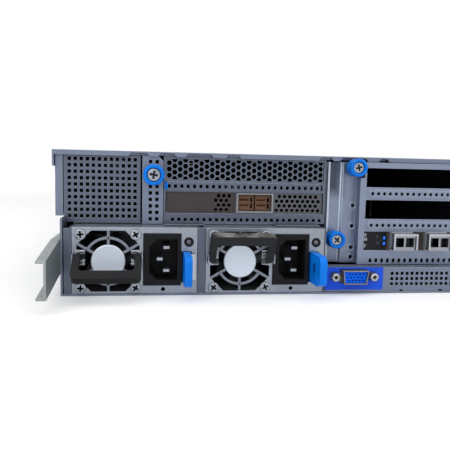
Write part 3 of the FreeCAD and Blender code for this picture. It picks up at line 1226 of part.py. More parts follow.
def memory_modules():
    top = BOARD_TOP + 8
    return [block(x - 0.6, x + 0.6, y - 66.5, y + 66.5, top, top + 28) for x, y in memory_places()]


def cpu_heatsink(x, y):
    """Finned heat sink drawn as one comb section along the air flow."""
    low = BOARD_TOP + 6
    base, high = low + 6, low + 46
    fins, pitch, thick = 11, 6.6, 1.2
    half = (fins - 1) * pitch / 2 + thick / 2
    points = [(x - half, low), (x + half, low)]
    for k in reversed(range(fins)):
        right = x - half + k * pitch + thick
        points += [(right, high), (right - thick, high)]
        if k:
            points += [(right - thick, base), (right - pitch, base)]
    return prism(points, y - 54, Vector(0, 108, 0), "xz")


def air_duct():
    """Moulded hood over processors and memory, open to the fans and to the rear."""
    x_cpu = cpu_centres()[1][0]
    y = cpu_centres()[0][1]
    half = x_cpu + 72
    low, high, wall = BOARD_TOP, 76.0, 1.6
    section = [(-half, low), (-half, high - 10), (-half + 10, high), (half - 10, high),
               (half, high - 10), (half, low), (half - wall, low), (half - wall, high - 10.6),
               (half - 10.6, high - wall), (-half + 10.6, high - wall),
               (-half + wall, high - 10.6), (-half + wall, low)]
    return prism(section, y - 80, Vector(0, 150, 0), "xz")


def power_board():
    """Board that the power supplies plug into, with its two receptacles."""
    y = Y_REAR + PSU_LENGTH + 5.0
    x0, x1 = across(BAY_LEFT), across(PSU_LEFT[1] + PSU_WIDTH)
    board = block(x0, x1, y + 10, y + 10 + BOARD, SHEET, DECK_Z)
    sockets = []
    for index in range(2):
        left, low = psu_origin(index)
        socket = cut(block(left + 16, left + PSU_WIDTH - 10, y, y + 10, low + 13, low + 23),
                     block(left + 19, left + PSU_WIDTH - 13, y - 1, y + 6, low + 16.7,
                           low + 17.3 + BOARD))
        sockets.append(socket)
    return fuse(board, *sockets)


def standoffs():
    """Hexagonal posts pressed into the floor, under the main board."""
    y_rows = (Y_MAIN + 20, Y_MAIN + 215, FAN_Y - 30)
    x_columns = (-30.0, 90.0, CAGE_HALF - 14.6)
    return [rod_z(x, y, 3.2, SHEET, BOARD_Z, 6) for x in x_columns for y in y_rows]


# ------------------------------------------------------------------- write
def main():
    os.makedirs("parts", exist_ok=True)
    export("chassis_pan", chassis_pan())
    export("top_cover", top_cover())
    export("cover_latch", cover_latch())
    export("front_cover", front_cover())
    export("mounting_ears", *mounting_ears())
    export("power_button", power_button())
    export("rack_rails", rail(), mirrored(rail()))
    export("left_vent_plate", left_vent_plate())
    export("module_bracket", module_bracket())
    export("middle_module", middle_module())
    export("hex_blank_panel", hex_blank_panel())
    export("expansion_card", *expansion_card())
    export("card_connectors", *card_connectors())
    export("middle_riser", middle_riser())
    export("right_riser", right_riser())
    export("slot_blanks", *slot_blanks())
    export("network_card", *network_card())
    export("io_strip", io_strip())
    export("vga_plate", vga_plate())
    export("vga_connector", *vga_connector())
    export("io_ports", *io_ports())
    export("psu_bay", psu_bay())
    export("power_board", power_board())
    for number, s in enumerate(CAGE_X, 1):
        export("transceiver_%d" % number, transceiver(s))
        export("bail_%d" % number, bail(s))
    for index in range(2):
        number = index + 1
        export("psu_%d_case" % number, psu_case(index))
        export("psu_%d_grille" % number, psu_grille(index))
        export("psu_%d_rotor" % number, psu_rotor(index))
        export("psu_%d_inlet" % number, *psu_inlet(index))
        export("psu_%d_handle" % number, psu_handle(index))
        export("psu_%d_latch" % number, psu_latch(index))
    upper, lower = flange_screws()
    places = ((*bracket_screw(), Y_MAIN - THIN - SEAT, 6.4), (*lower, Y_MAIN, 5.5),
              (*upper, Y_FLANGE, 5.6), (*right_screw(), Y_RISER, 5.5))
    for number, place in enumerate(places, 1):
        export("thumbscrew_%d" % number, thumbscrew(*place))
    export("drive_cage", drive_cage())
    for number, index in enumerate(CARRIERS, 1):
        export("drive_%d_carrier" % number, *carrier(index))
        export("drive_%d_lever" % number, carrier_lever(index))
    export("bay_blanks", *bay_blanks())
    export("backplane", backplane())
    export("fan_frames", *fan_frames())
    export("fan_bracket", fan_bracket())
    for index in range(FAN_COUNT):
        export("fan_rotor_%d" % (index + 1), system_rotor(index))
    export("motherboard", motherboard())
    export("memory_modules", *memory_modules())
    export("cpu_heatsinks", *[cpu_heatsink(x, y) for x, y in cpu_centres()])
    export("air_duct", air_duct())


main()
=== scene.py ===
"""Finishes and fine pieces of a 2U rack server, built round its CAD frame."""
import json
import math

import bmesh
import bpy
from mathutils import Matrix, Vector


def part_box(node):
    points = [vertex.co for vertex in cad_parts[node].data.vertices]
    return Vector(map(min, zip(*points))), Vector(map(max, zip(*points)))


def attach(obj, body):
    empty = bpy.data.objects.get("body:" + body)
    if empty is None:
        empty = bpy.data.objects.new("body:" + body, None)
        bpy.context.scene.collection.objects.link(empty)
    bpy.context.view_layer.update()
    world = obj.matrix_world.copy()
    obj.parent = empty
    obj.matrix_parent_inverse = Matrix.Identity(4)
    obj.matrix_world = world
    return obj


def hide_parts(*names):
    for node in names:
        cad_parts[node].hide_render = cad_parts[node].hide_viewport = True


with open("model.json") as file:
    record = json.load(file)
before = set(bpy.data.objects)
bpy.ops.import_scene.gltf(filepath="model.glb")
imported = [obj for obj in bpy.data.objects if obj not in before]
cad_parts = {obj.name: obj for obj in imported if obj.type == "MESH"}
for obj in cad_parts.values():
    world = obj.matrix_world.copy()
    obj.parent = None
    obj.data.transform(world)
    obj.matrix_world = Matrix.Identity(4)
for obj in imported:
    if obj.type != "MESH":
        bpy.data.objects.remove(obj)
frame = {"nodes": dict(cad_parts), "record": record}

bl_info = {
    "name": "Rack server finishes",
    "version": (1, 0, 0),
    "blender": (4, 5, 0),
    "location": "3D View > Sidebar > Rack server",
    "description": "Gives a 2U rack server its finishes, screws, fans and small fittings",
    "category": "Object",
}

MM = 0.001
JOINTS = {joint["name"]: joint for joint in frame["record"]["behaviour"]["joints"]}
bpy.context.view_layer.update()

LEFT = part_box("top_cover")[0].x
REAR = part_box("psu_bay")[0].y
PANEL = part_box("left_vent_plate")[0].y
RIB_PROUD = 0.8 * MM
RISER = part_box("middle_riser")[0].y + RIB_PROUD
CARD_FACE = RISER + 1.0 * MM
POWER_SUPPLIES = (1, 2)

# Places on a power supply, from the lower left corner of its case.
LATCH_LEFT, LATCH_BOTTOM, LATCH_TOP = 65.0 * MM, 6.6 * MM, 25.0 * MM
INLET_LEFT, INLET_MIDDLE = 44.9 * MM, 20.4 * MM
STATUS_LIGHT = (68.4 * MM, 31.0 * MM)

# Places on the rear face: millimetres from its left edge, and levels above the floor.
FOLD_LINE = 181.4
FLANGE_HOLES = 189.2
FLANGE_HOLE_LEVELS = (54.7, 41.4, 27.2, 20.9)
SERIAL_JACKS = (288.0, 304.0)
NETWORK_JACKS = (330.0, 352.0)
VIDEO_LEVEL = 11.4 * MM
JACKSCREW_OFFSET = 12.495 * MM

# Heads on the sides, in metres: places along the server, or place and level.
RAIL_STUDS = (-0.30, -0.10, 0.10, 0.27)
EAR_STUDS = ((0.330, 0.012), (0.330, 0.036), (0.362, 0.012), (0.362, 0.036))
WALL_RIVETS = (-0.345, -0.20, -0.05, 0.10, 0.24, 0.36)
WALL_RIVET_LEVEL = 0.064

# How far each handle is raised above level, in degrees.
HANDLE_ANGLES = (-33.0, 58.0)

# Where the camera stands, and its yaw, pitch and roll in degrees.
CAMERA_PLACE = (-0.1639, PANEL - 0.337, 0.0776)
CAMERA_TURN = (7.794, 6.137, 1.316)


def linear(red, green, blue):
    """Scene-linear colour of a display colour given in 0 to 255."""
    def one(value):
        value /= 255.0
        return value / 12.92 if value <= 0.04045 else ((value + 0.055) / 1.055) ** 2.4
    return one(red), one(green), one(blue)


def across(millimetres):
    """X of a point that lies this far from the left edge, seen from the rear."""
    return LEFT + millimetres * MM


# ---------------------------------------------------------------- mesh code
def settle(name, bm, finish, body, bevel=0.0, segments=2, smooth_angle=35.0,
           replaces=()):
    """Turn mesh code into a piece that rides on a body of the frame."""
    bmesh.ops.remove_doubles(bm, verts=bm.verts, dist=1e-7)
    bmesh.ops.recalc_face_normals(bm, faces=bm.faces)
    mesh = bpy.data.meshes.new(name)
    bm.to_mesh(mesh)
    bm.free()
    for coating in (finish if isinstance(finish, tuple) else (finish,)):
        mesh.materials.append(coating)
    for polygon in mesh.polygons:
        polygon.use_smooth = True
    mesh.set_sharp_from_angle(angle=math.radians(smooth_angle))
    piece = bpy.data.objects.new(name, mesh)
    bpy.context.scene.collection.objects.link(piece)
    if bevel:
        rounding = piece.modifiers.new("rounded_edges", "BEVEL")
        rounding.width = bevel
        rounding.segments = segments
        rounding.limit_method = "ANGLE"
        rounding.angle_limit = math.radians(40)
        rounding.harden_normals = True
    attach(piece, body)
    if replaces:
        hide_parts(*replaces)
    return piece


def along_y(x, z):
    """Places a point (a, b, depth) on a face that looks to the rear."""
    return lambda a, b, depth: Vector((x + a, depth, z + b))


def along_x(x, y, z):
    """Places a point (a, b, depth) round an axis that runs across the server."""
    return lambda a, b, depth: Vector((x + depth, y + a, z + b))


def along_z(x, y):
    """Places a point (a, b, level) round an upright axis."""
    return lambda a, b, level: Vector((x + a, y + b, level))


def turned(bm, place, profile, steps=48, ribs=0.0):
    """Solid of revolution: profile is (depth, radius, ribbed) from end to end."""
    rings = []
    for depth, radius, ribbed in profile:
        if radius < 1e-7:
            rings.append([bm.verts.new(place(0, 0, depth))])
            continue
        ring = []
        for k in range(steps):
            r = radius - (ribs if ribbed and k % 4 in (2, 3) else 0.0)
            turn = 2 * math.pi * k / steps
            ring.append(bm.verts.new(place(r * math.cos(turn), r * math.sin(turn), depth)))
        rings.append(ring)
    for near, far in zip(rings, rings[1:]):
        for k in range(steps):
            following = (k + 1) % steps
            if len(near) == 1:
                bm.faces.new((near[0], far[k], far[following]))
            elif len(far) == 1:
                bm.faces.new((near[k], far[0], near[following]))
            else:
                bm.faces.new((near[k], far[k], far[following], near[following]))


def plain(profile):
    """Profile of a turned piece without ribs."""
    return [(depth, radius, False) for depth, radius in profile]


def loop_edges(bm, loop):
    """New edges that join the points of a closed loop."""
    return [bm.edges.new((loop[k], loop[(k + 1) % len(loop)])) for k in range(len(loop))]


def loop_edges_of(loop):
    """Edges that already join the points of a closed loop."""
    found = []
    for k, vert in enumerate(loop):
        following = loop[(k + 1) % len(loop)]
        found += [edge for edge in vert.link_edges if edge.other_vert(vert) is following]
    return found


def wall(bm, near, far):
    """Faces between two closed loops of points."""
    for k in range(len(near)):
        following = (k + 1) % len(near)
        bm.faces.new((near[k], near[following], far[following], far[k]))


def slab(bm, place, outline, near, far, pockets=(), pocket_depth=0.0, draft=1.0):
    """Slab between two depths, with pockets sunk into its near face."""
    front = [bm.verts.new(place(a, b, near)) for a, b in outline]
    back = [bm.verts.new(place(a, b, far)) for a, b in outline]
    wall(bm, front, back)
    bm.faces.new(back)
    if not pockets:
        bm.faces.new(front)
        return
    edges = loop_edges_of(front)
    for pocket in pockets:
        mouth = [bm.verts.new(place(a, b, near)) for a, b in pocket]
        mid_a = sum(a for a, b in pocket) / len(pocket)
        mid_b = sum(b for a, b in pocket) / len(pocket)
        floor = [bm.verts.new(place(mid_a + (a - mid_a) * draft, mid_b + (b - mid_b) * draft,
                                    near + pocket_depth)) for a, b in pocket]
        edges += loop_edges(bm, mouth)
        before = set(bm.faces)
        wall(bm, mouth, floor)
        bm.faces.new(floor)
        # Pocket walls and floors take the second finish, a painted shade.
        for side in set(bm.faces) - before:
            side.material_index = 1
    bmesh.ops.triangle_fill(bm, edges=edges, use_beauty=True)


def pierced_plate(bm, place, outer, mouth, near, far):
    """Plate between two depths, with one opening through it."""
    front = [bm.verts.new(place(a, b, near)) for a, b in outer]
    back = [bm.verts.new(place(a, b, far)) for a, b in outer]
    hole = [bm.verts.new(place(a, b, near)) for a, b in mouth]
    under = [bm.verts.new(place(a, b, far)) for a, b in mouth]
    wall(bm, front, back)
    wall(bm, hole, under)
    for edge, opening in ((front, hole), (back, under)):
        bmesh.ops.triangle_fill(bm, edges=loop_edges_of(edge) + loop_edges_of(opening),
                                use_beauty=True)


def circle(radius, steps, a=0.0, b=0.0):
    return [(a + radius * math.cos(2 * math.pi * k / steps),
             b + radius * math.sin(2 * math.pi * k / steps)) for k in range(steps)]


def rectangle(a0, a1, b0, b1):
    return [(a0, b0), (a1, b0), (a1, b1), (a0, b1)]


def rounded(points, radius, steps=5):
    """Outline with each corner replaced by an arc."""
    result = []
    count = len(points)
    for k, (x, y) in enumerate(points):
        corner = Vector((x, y))
        back = Vector(points[k - 1]) - corner
        ahead = Vector(points[(k + 1) % count]) - corner
        reach = min(radius, back.length * 0.45, ahead.length * 0.45)
        start = corner + back.normalized() * reach
        end = corner + ahead.normalized() * reach
        for step in range(steps + 1):
            t = step / steps
            point = start.lerp(corner, t).lerp(corner.lerp(end, t), t)
            result.append((point.x, point.y))
    return result


def cross(half, arm, turn):
    """Outline of a cross recess."""
    points = [(arm, half), (arm, arm), (half, arm), (half, -arm), (arm, -arm), (arm, -half),
              (-arm, -half), (-arm, -arm), (-half, -arm), (-half, arm), (-arm, arm), (-arm, half)]
    c, s = math.cos(turn), math.sin(turn)
    return [(a * c - b * s, a * s + b * c) for a, b in points]


def screw_head(bm, place, face, radius, height, turn):
    """Pan head with a cross recess."""
    steps = 28
    crown, rim = face + radius * 0.05, face + radius * 0.24
    loops = []
    for depth, r in ((face, radius * 0.72), (crown, radius * 0.9), (rim, radius)):
        loops.append([bm.verts.new(place(a, b, depth)) for a, b in circle(r, steps)])
    foot = [bm.verts.new(place(a, b, face + height)) for a, b in circle(radius, steps)]
    for near, far in zip(loops, loops[1:] + [foot]):
        wall(bm, near, far)
    bm.faces.new(foot)
    recess = cross(radius * 0.60, radius * 0.17, turn)
    mouth = [bm.verts.new(place(a, b, face)) for a, b in recess]
    floor = [bm.verts.new(place(a * 0.72, b * 0.72, face + radius * 0.45)) for a, b in recess]
    before = set(bm.faces)
    wall(bm, mouth, floor)
    bm.faces.new(floor)
    # Recess faces take the second finish, a painted shade.
    for side in set(bm.faces) - before:
        side.material_index = 1
    bmesh.ops.triangle_fill(bm, edges=loop_edges_of(loops[0]) + loop_edges_of(mouth),
                            use_beauty=True)


def bar(bm, low, high):
    """Block between two corners, for small parts that get rounded edges."""
    xs, ys, zs = ((low[k], high[k]) for k in range(3))
    verts = [bm.verts.new((x, y, z)) for z in zs for y in ys for x in xs]
    for face in ((0, 1, 3, 2), (4, 6, 7, 5), (0, 4, 5, 1), (1, 5, 7, 3), (3, 7, 6, 2),
                 (2, 6, 4, 0)):
        bm.faces.new([verts[k] for k in face])


def arc_band(bm, place, radius, width, near, far, start, end, steps=24):
    """Part of a flat ring, of square section, with closed ends."""
    sections = []
    for k in range(steps + 1):
        turn = start + (end - start) * k / steps
        section = []
        for r, depth in ((radius - width / 2, near), (radius + width / 2, near),
                         (radius + width / 2, far), (radius - width / 2, far)):
            section.append(bm.verts.new(place(r * math.cos(turn), r * math.sin(turn), depth)))
        sections.append(section)
    for here, there in zip(sections, sections[1:]):
        wall(bm, here, there)
    bm.faces.new(sections[0])
    bm.faces.new(sections[-1])


# ------------------------------------------------------------ shader pieces
class Nodes:
    """Short way to add linked nodes to a node tree."""

    def __init__(self, tree):
        self.tree = tree

    def add(self, kind, inputs=None, **settings):
        made = self.tree.nodes.new(kind)
        for key, value in settings.items():
            setattr(made, key, value)
        for key, value in (inputs or {}).items():
            self.feed(made.inputs[key], value)
        return made

    def feed(self, socket, value):
        if isinstance(value, bpy.types.NodeSocket):
            self.tree.links.new(value, socket)
        elif isinstance(value, tuple) and len(value) == 3 and socket.type == "RGBA":
            socket.default_value = (*value, 1.0)
        else:
            socket.default_value = value

    def math(self, operation, first, second=0.0, clamp=False):
        made = self.add("ShaderNodeMath", {0: first, 1: second}, operation=operation)
        made.use_clamp = clamp
        return made.outputs[0]

    def spread(self, value, low, high, to_low=0.0, to_high=1.0):
        made = self.add("ShaderNodeMapRange", {"Value": value, "From Min": low, "From Max": high,
                                               "To Min": to_low, "To Max": to_high})
        return made.outputs["Result"]

    def blend(self, amount, first, second, kind="MIX"):
        made = self.add("ShaderNodeMix", data_type="RGBA", blend_type=kind)
        self.feed(made.inputs[0], amount)
        self.feed(made.inputs[6], first)
        self.feed(made.inputs[7], second)
        return made.outputs[2]

    def noise(self, scale, detail=3.0, vector=None, rough=0.5):
        made = self.add("ShaderNodeTexNoise", {"Scale": scale, "Detail": detail,
                                               "Roughness": rough})
        self.feed(made.inputs["Vector"], vector or self.place())
        return made.outputs["Fac"]

    def place(self):
        return self.add("ShaderNodeTexCoord").outputs["Object"]


def group(name, inputs, outputs):
    """Empty shader group with its sockets; returns it with its two ends."""
    tree = bpy.data.node_groups.new(name, "ShaderNodeTree")
    for label, kind, default in inputs:
        socket = tree.interface.new_socket(label, in_out="INPUT", socket_type=kind)
        if default is not None:
            socket.default_value = default
    for label, kind in outputs:
        tree.interface.new_socket(label, in_out="OUTPUT", socket_type=kind)
    nodes = Nodes(tree)
    return nodes, nodes.add("NodeGroupInput").outputs, nodes.add("NodeGroupOutput").inputs


def painted_edge_highlight():
    """Painted highlight along sheared and folded edges, broken up a little, with the bevel's
    rounded normal.
    """
    nodes, given, result = group(
        "painted_edge_highlight", [("Radius", "NodeSocketFloat", 0.0004), ("Breaks", "NodeSocketFloat", 0.4)],
        [("Edge", "NodeSocketFloat"), ("Normal", "NodeSocketVector")])
    soft = nodes.add("ShaderNodeBevel", {"Radius": given["Radius"]}, samples=4)
    true = nodes.add("ShaderNodeNewGeometry").outputs["Normal"]
    match = nodes.add("ShaderNodeVectorMath", {0: soft.outputs[0], 1: true},
                      operation="DOT_PRODUCT").outputs["Value"]
    turned_away = nodes.spread(match, 0.995, 0.80)
    breaks = nodes.spread(nodes.noise(420.0, 4.0), 0.35, 0.62, 1.0, 0.0)
    kept = nodes.math("SUBTRACT", 1.0, nodes.math("MULTIPLY", breaks, given["Breaks"]))
    # Edge is the mask of the painted highlight on the edges.
    nodes.feed(result["Edge"], nodes.math("MULTIPLY", turned_away, kept, clamp=True))
    nodes.feed(result["Normal"], soft.outputs[0])
    return nodes.tree


def surface_grain():
    """Fine grain, a broad cloudy tone and short handling scratches."""
    nodes, given, result = group(
        "surface_grain", [("Grain", "NodeSocketFloat", 2600.0), ("Clouds", "NodeSocketFloat", 26.0),
                          ("Stretch", "NodeSocketVector", (1.0, 1.0, 1.0))],
        [("Height", "NodeSocketFloat"), ("Tone", "NodeSocketFloat"),
         ("Scratches", "NodeSocketFloat")])
    stretched = nodes.add("ShaderNodeVectorMath", {0: nodes.place(), 1: given["Stretch"]},
                          operation="MULTIPLY").outputs["Vector"]
    fine = nodes.noise(given["Grain"], 2.0, stretched)
    clouds = nodes.noise(given["Clouds"], 4.0, stretched, 0.6)
    thin = nodes.add("ShaderNodeVectorMath", {0: nodes.place(), 1: (1.0, 0.12, 0.35)},
                     operation="MULTIPLY").outputs["Vector"]
    scratch = nodes.spread(nodes.noise(900.0, 1.0, thin), 0.70, 0.78)
    patches = nodes.spread(nodes.noise(38.0, 2.0), 0.5, 0.7)
    nodes.feed(result["Height"], fine)
    nodes.feed(result["Tone"], clouds)
    nodes.feed(result["Scratches"], nodes.math("MULTIPLY", scratch, patches, clamp=True))
    return nodes.tree


def zinc_spangle():
    """Crystal pattern of hot-dip zinc."""
    nodes, given, result = group(
        "zinc_spangle", [("Size", "NodeSocketFloat", 220.0)], [("Tone", "NodeSocketFloat")])
    warp = nodes.math("MULTIPLY", nodes.noise(160.0, 2.0), 0.003)
    shift = nodes.add("ShaderNodeCombineXYZ", {"X": warp, "Y": warp, "Z": warp})
    bent = nodes.add("ShaderNodeVectorMath", {0: nodes.place(), 1: shift.outputs[0]},
                     operation="ADD")
    cells = nodes.add("ShaderNodeTexVoronoi", {"Scale": given["Size"]})
    nodes.feed(cells.inputs["Vector"], bent.outputs["Vector"])
    split = nodes.add("ShaderNodeSeparateColor", {0: cells.outputs["Color"]})
    nodes.feed(result["Tone"], split.outputs[0])
    return nodes.tree


def settled_dust():
    """Dust on faces that look up, in uneven patches."""
    nodes, given, result = group(
        "settled_dust", [("Amount", "NodeSocketFloat", 0.2)], [("Dust", "NodeSocketFloat")])
    split = nodes.add("ShaderNodeSeparateXYZ",
                      {0: nodes.add("ShaderNodeNewGeometry").outputs["Normal"]})
    upward = nodes.spread(split.outputs["Z"], 0.3, 1.0)
    patches = nodes.spread(nodes.noise(90.0, 5.0, rough=0.65), 0.38, 0.72)
    both = nodes.math("MULTIPLY", nodes.math("MULTIPLY", upward, patches), given["Amount"])
    nodes.feed(result["Dust"], both)
    return nodes.tree


def inside_block():
    """Mask that is 1 between two corners of the object's own space and fades at its border."""
    nodes, given, result = group(
        "inside_block", [("Low", "NodeSocketVector", (0, 0, 0)),
                         ("High", "NodeSocketVector", (1, 1, 1)),
                         ("Fade", "NodeSocketFloat", 0.02 * MM)], [("Inside", "NodeSocketFloat")])
    point = nodes.add("ShaderNodeSeparateXYZ", {0: nodes.place()}).outputs
    low = nodes.add("ShaderNodeSeparateXYZ", {0: given["Low"]}).outputs
    high = nodes.add("ShaderNodeSeparateXYZ", {0: given["High"]}).outputs
    mask = 1.0
    for axis in ("X", "Y", "Z"):
        above = nodes.math("SUBTRACT", point[axis], low[axis])
        below = nodes.math("SUBTRACT", high[axis], point[axis])
        depth = nodes.math("DIVIDE", nodes.math("MINIMUM", above, below), given["Fade"])
        mask = nodes.math("MINIMUM", mask, nodes.math("MAXIMUM", depth, 0.0))
    nodes.feed(result["Inside"], mask)
    return nodes.tree


GROUPS = {}
FINISHES = {}


def shared(builder):
    """The shader group that a builder makes, built once."""
    name = builder.__name__
    if name not in GROUPS:
        GROUPS[name] = builder()
    return GROUPS[name]


def place_group(nodes, builder, **values):
    made = nodes.add("ShaderNodeGroup")
    made.node_tree = shared(builder)
    for key, value in values.items():
        nodes.feed(made.inputs[key], value)
    return made.outputs


def new_finish(name):
    finish = bpy.data.materials.new(name)
    finish.use_nodes = True
    finish.node_tree.nodes.clear()
    nodes = Nodes(finish.node_tree)
    shader = nodes.add("ShaderNodeBsdfPrincipled")
    output = nodes.add("ShaderNodeOutputMaterial")
    finish.node_tree.links.new(shader.outputs[0], output.inputs["Surface"])
    FINISHES[name] = finish
    return finish, nodes, shader.inputs


def scaled(colour, factor):
    return tuple(min(1.0, channel * factor) for channel in colour)


def metal(name, colour, edge, metallic, roughness, grain=2600.0, stretch=(1.0, 1.0, 1.0),
          spangle=0.0, dust=0.25, relief=0.05, radius=0.0004, zones=()):
    """Sheet, cast or turned metal; edge is the colour of the painted highlight along its edges. A
    zone is its colour, two corners and, if soft, its fade; some zones are painted shade or painted
    highlights.
    """
    finish, nodes, shader = new_finish(name)
    skin = place_group(nodes, surface_grain, Grain=grain, Stretch=stretch)
    # edges carries the mask of the painted edge highlight and the bevel's rounded normal.
    edges = place_group(nodes, painted_edge_highlight, Radius=radius)
    fallen = place_group(nodes, settled_dust, Amount=dust)
    base = nodes.blend(nodes.spread(skin["Tone"], 0.3, 0.7), scaled(colour, 0.93),
                       scaled(colour, 1.07))
    if spangle:
        crystals = place_group(nodes, zinc_spangle)
        base = nodes.blend(nodes.math("MULTIPLY", crystals["Tone"], spangle), base,
                           scaled(colour, 1.5))
    for tone, low, high, *fade in zones:
        zone = place_group(nodes, inside_block, Low=low, High=high,
                           Fade=fade[0] if fade else 0.02 * MM)
        base = nodes.blend(zone["Inside"], base, tone)
    base = nodes.blend(nodes.math("MULTIPLY", skin["Scratches"], 0.25), base, scaled(colour, 1.8))
    # Painted highlight along the edges, in the edge colour.
    base = nodes.blend(nodes.math("MULTIPLY", edges["Edge"], 0.75), base, edge)
    base = nodes.blend(fallen["Dust"], base, linear(196, 194, 188))
    nodes.feed(shader["Base Color"], base)
    plain_metal = nodes.math("SUBTRACT", metallic, nodes.math("MULTIPLY", fallen["Dust"], 0.6))
    nodes.feed(shader["Metallic"], nodes.math("MAXIMUM", plain_metal, 0.0))
    rough = nodes.math("ADD", nodes.spread(skin["Tone"], 0.3, 0.7, roughness - 0.05,
                                           roughness + 0.08),
                       nodes.math("MULTIPLY", fallen["Dust"], 0.3))
    nodes.feed(shader["Roughness"], rough)
    height = nodes.math("SUBTRACT", skin["Height"], nodes.math("MULTIPLY", skin["Scratches"], 0.4))
    bump = nodes.add("ShaderNodeBump", {"Strength": 0.5, "Distance": relief * MM,
                                        "Height": height, "Normal": edges["Normal"]})
    nodes.feed(shader["Normal"], bump.outputs[0])
    return finish


def moulding(name, colour, roughness, grain=3200.0, relief=0.03, edge_highlight_lift=1.8, dust=0.2,
             gloss=0.5, radius=0.0004):
    """Moulded plastic with a fine skin and a painted highlight along its edges."""
    finish, nodes, shader = new_finish(name)
    skin = place_group(nodes, surface_grain, Grain=grain, Clouds=60.0)
    edges = place_group(nodes, painted_edge_highlight, Radius=radius, Breaks=0.2)
    fallen = place_group(nodes, settled_dust, Amount=dust)
    base = nodes.blend(nodes.spread(skin["Tone"], 0.3, 0.7), scaled(colour, 0.85),
                       scaled(colour, 1.15))
    highlight_and_scratch_tone = tuple(min(1.0, channel * edge_highlight_lift + 0.012) for channel in colour)
    # Painted highlight along the edges; the same paler tone marks the scratches.
    base = nodes.blend(nodes.math("MULTIPLY", edges["Edge"], 0.6), base, highlight_and_scratch_tone)
    base = nodes.blend(nodes.math("MULTIPLY", skin["Scratches"], 0.15), base, highlight_and_scratch_tone)
    base = nodes.blend(fallen["Dust"], base, linear(190, 188, 182))
    nodes.feed(shader["Base Color"], base)
    nodes.feed(shader["Roughness"], nodes.spread(skin["Tone"], 0.3, 0.7, roughness - 0.06,
                                                 roughness + 0.08))
    shader["Specular IOR Level"].default_value = gloss
    bump = nodes.add("ShaderNodeBump", {"Strength": 0.6, "Distance": relief * MM,
                                        "Height": skin["Height"], "Normal": edges["Normal"]})
    nodes.feed(shader["Normal"], bump.outputs[0])
    return finish


def lamp_lens(name, colour, glow):
    """Small light: clear tinted cap over a weak glow."""
    finish, nodes, shader = new_finish(name)
    skin = place_group(nodes, surface_grain, Grain=1500.0)
    tone = nodes.blend(skin["Tone"], scaled(colour, 0.7), scaled(colour, 1.2))
    nodes.feed(shader["Base Color"], tone)
    nodes.feed(shader["Emission Color"], tone)
    shader["Emission Strength"].default_value = glow
    nodes.feed(shader["Roughness"], nodes.spread(skin["Height"], 0.3, 0.7, 0.12, 0.22))
    shader["Coat Weight"].default_value = 0.6
    return finish


# ------------------------------------------------------------ adjustable values
def colour_value(name, description, display):
    return bpy.props.FloatVectorProperty(name=name, description=description, subtype="COLOR",
                                         size=3, min=0.0, max=1.0, default=linear(*display))


def length_value(name, description, millimetres):
    return bpy.props.FloatProperty(name=name, description=description, unit="LENGTH",
                                   subtype="DISTANCE", min=0.0, default=millimetres * MM)


def factor_value(name, description, default):
    return bpy.props.FloatProperty(name=name, description=description, subtype="FACTOR",
                                   min=0.0, max=1.0, default=default)


class RackServerFinishes(bpy.types.PropertyGroup):
    """Colours of the server's finishes."""
    sheet: colour_value("Sheet", "Plated sheet of chassis and panels", (112, 121, 140))
    # Colour of the painted highlight along sheared and folded edges.
    sheet_edge_highlight: colour_value("Sheet edge", "Sheared and folded edges", (205, 216, 232))
    zinc: colour_value("Bright zinc", "Power supply cases and their bay", (140, 147, 158))
    guard: colour_value("Fan guard", "Cast finger guard", (122, 129, 140))
    rail: colour_value("Rail", "Galvanised side rails", (140, 147, 148))
    dark_bracket: colour_value("Dark bracket", "Bracket of the lower card", (62, 55, 57))
    azure: colour_value("Azure", "Captive screws and latches", (2, 122, 232))
    black: colour_value("Black", "Moulded handles, inlets and fans", (17, 18, 21))
    video_blue: colour_value("Video blue", "Plate round the video port", (20, 82, 222))
    nickel: colour_value("Nickel", "Shells, jackscrews and wire bails", (172, 176, 184))
    copper: colour_value("Copper", "Contacts of the card connectors", (140, 96, 60))
    roughness: factor_value("Sheet roughness", "Roughness of the plated sheet", 0.36)
    dust: factor_value("Dust", "Dust on faces that look up", 0.22)


class RackServerScrews(bpy.types.PropertyGroup):
    """Sizes of captive and case screws."""
    sleeve_bore: factor_value("Sleeve bore", "Opening of the sleeve, as part of its radius", 0.66)
    sleeve_length: length_value("Sleeve length", "Length of the azure sleeve", 8.4)
    rib_depth: length_value("Rib depth", "Depth of the grip ribs", 0.22)
    case_screw: length_value("Case screw", "Radius of the screws round each fan", 3.4)
    case_screw_offset: length_value("Case screw offset", "From the fan axis, each way", 16.0)


class RackServerHandles(bpy.types.PropertyGroup):
    """Sizes of the moulded power supply handles."""
    half_width: length_value("Half width", "From the middle to the outside of an arm", 19.5)
    reach: length_value("Reach", "From the pivot to the top of the grip", 18.4)
    grip: length_value("Grip", "Height of the grip", 6.6)
    arm: length_value("Arm", "Width of each arm", 4.0)
    thickness: length_value("Thickness", "Thickness of the moulding", 4.2)
    foot: length_value("Foot", "Length of the arms past the pivot", 2.2)


class RackServerFans(bpy.types.PropertyGroup):
    """Sizes of the fans and their guards."""
    disc_radius: length_value("Disc radius", "Disc in the middle of the guard", 9.9)
    ring_radius: length_value("Ring radius", "Middle of the guard's ring", 13.9)
    bar_width: length_value("Bar width", "Ring and spokes of the guard", 1.65)
    opening_half: length_value("Opening", "Half width of the opening in the case", 18.3)
    opening_corner: length_value("Opening corner", "Cut corner of the opening", 8.4)
    blade_twist: bpy.props.FloatProperty(name="Blade twist", description="Pitch of the blades",
                                         unit="ROTATION", subtype="ANGLE",
                                         default=math.radians(38))


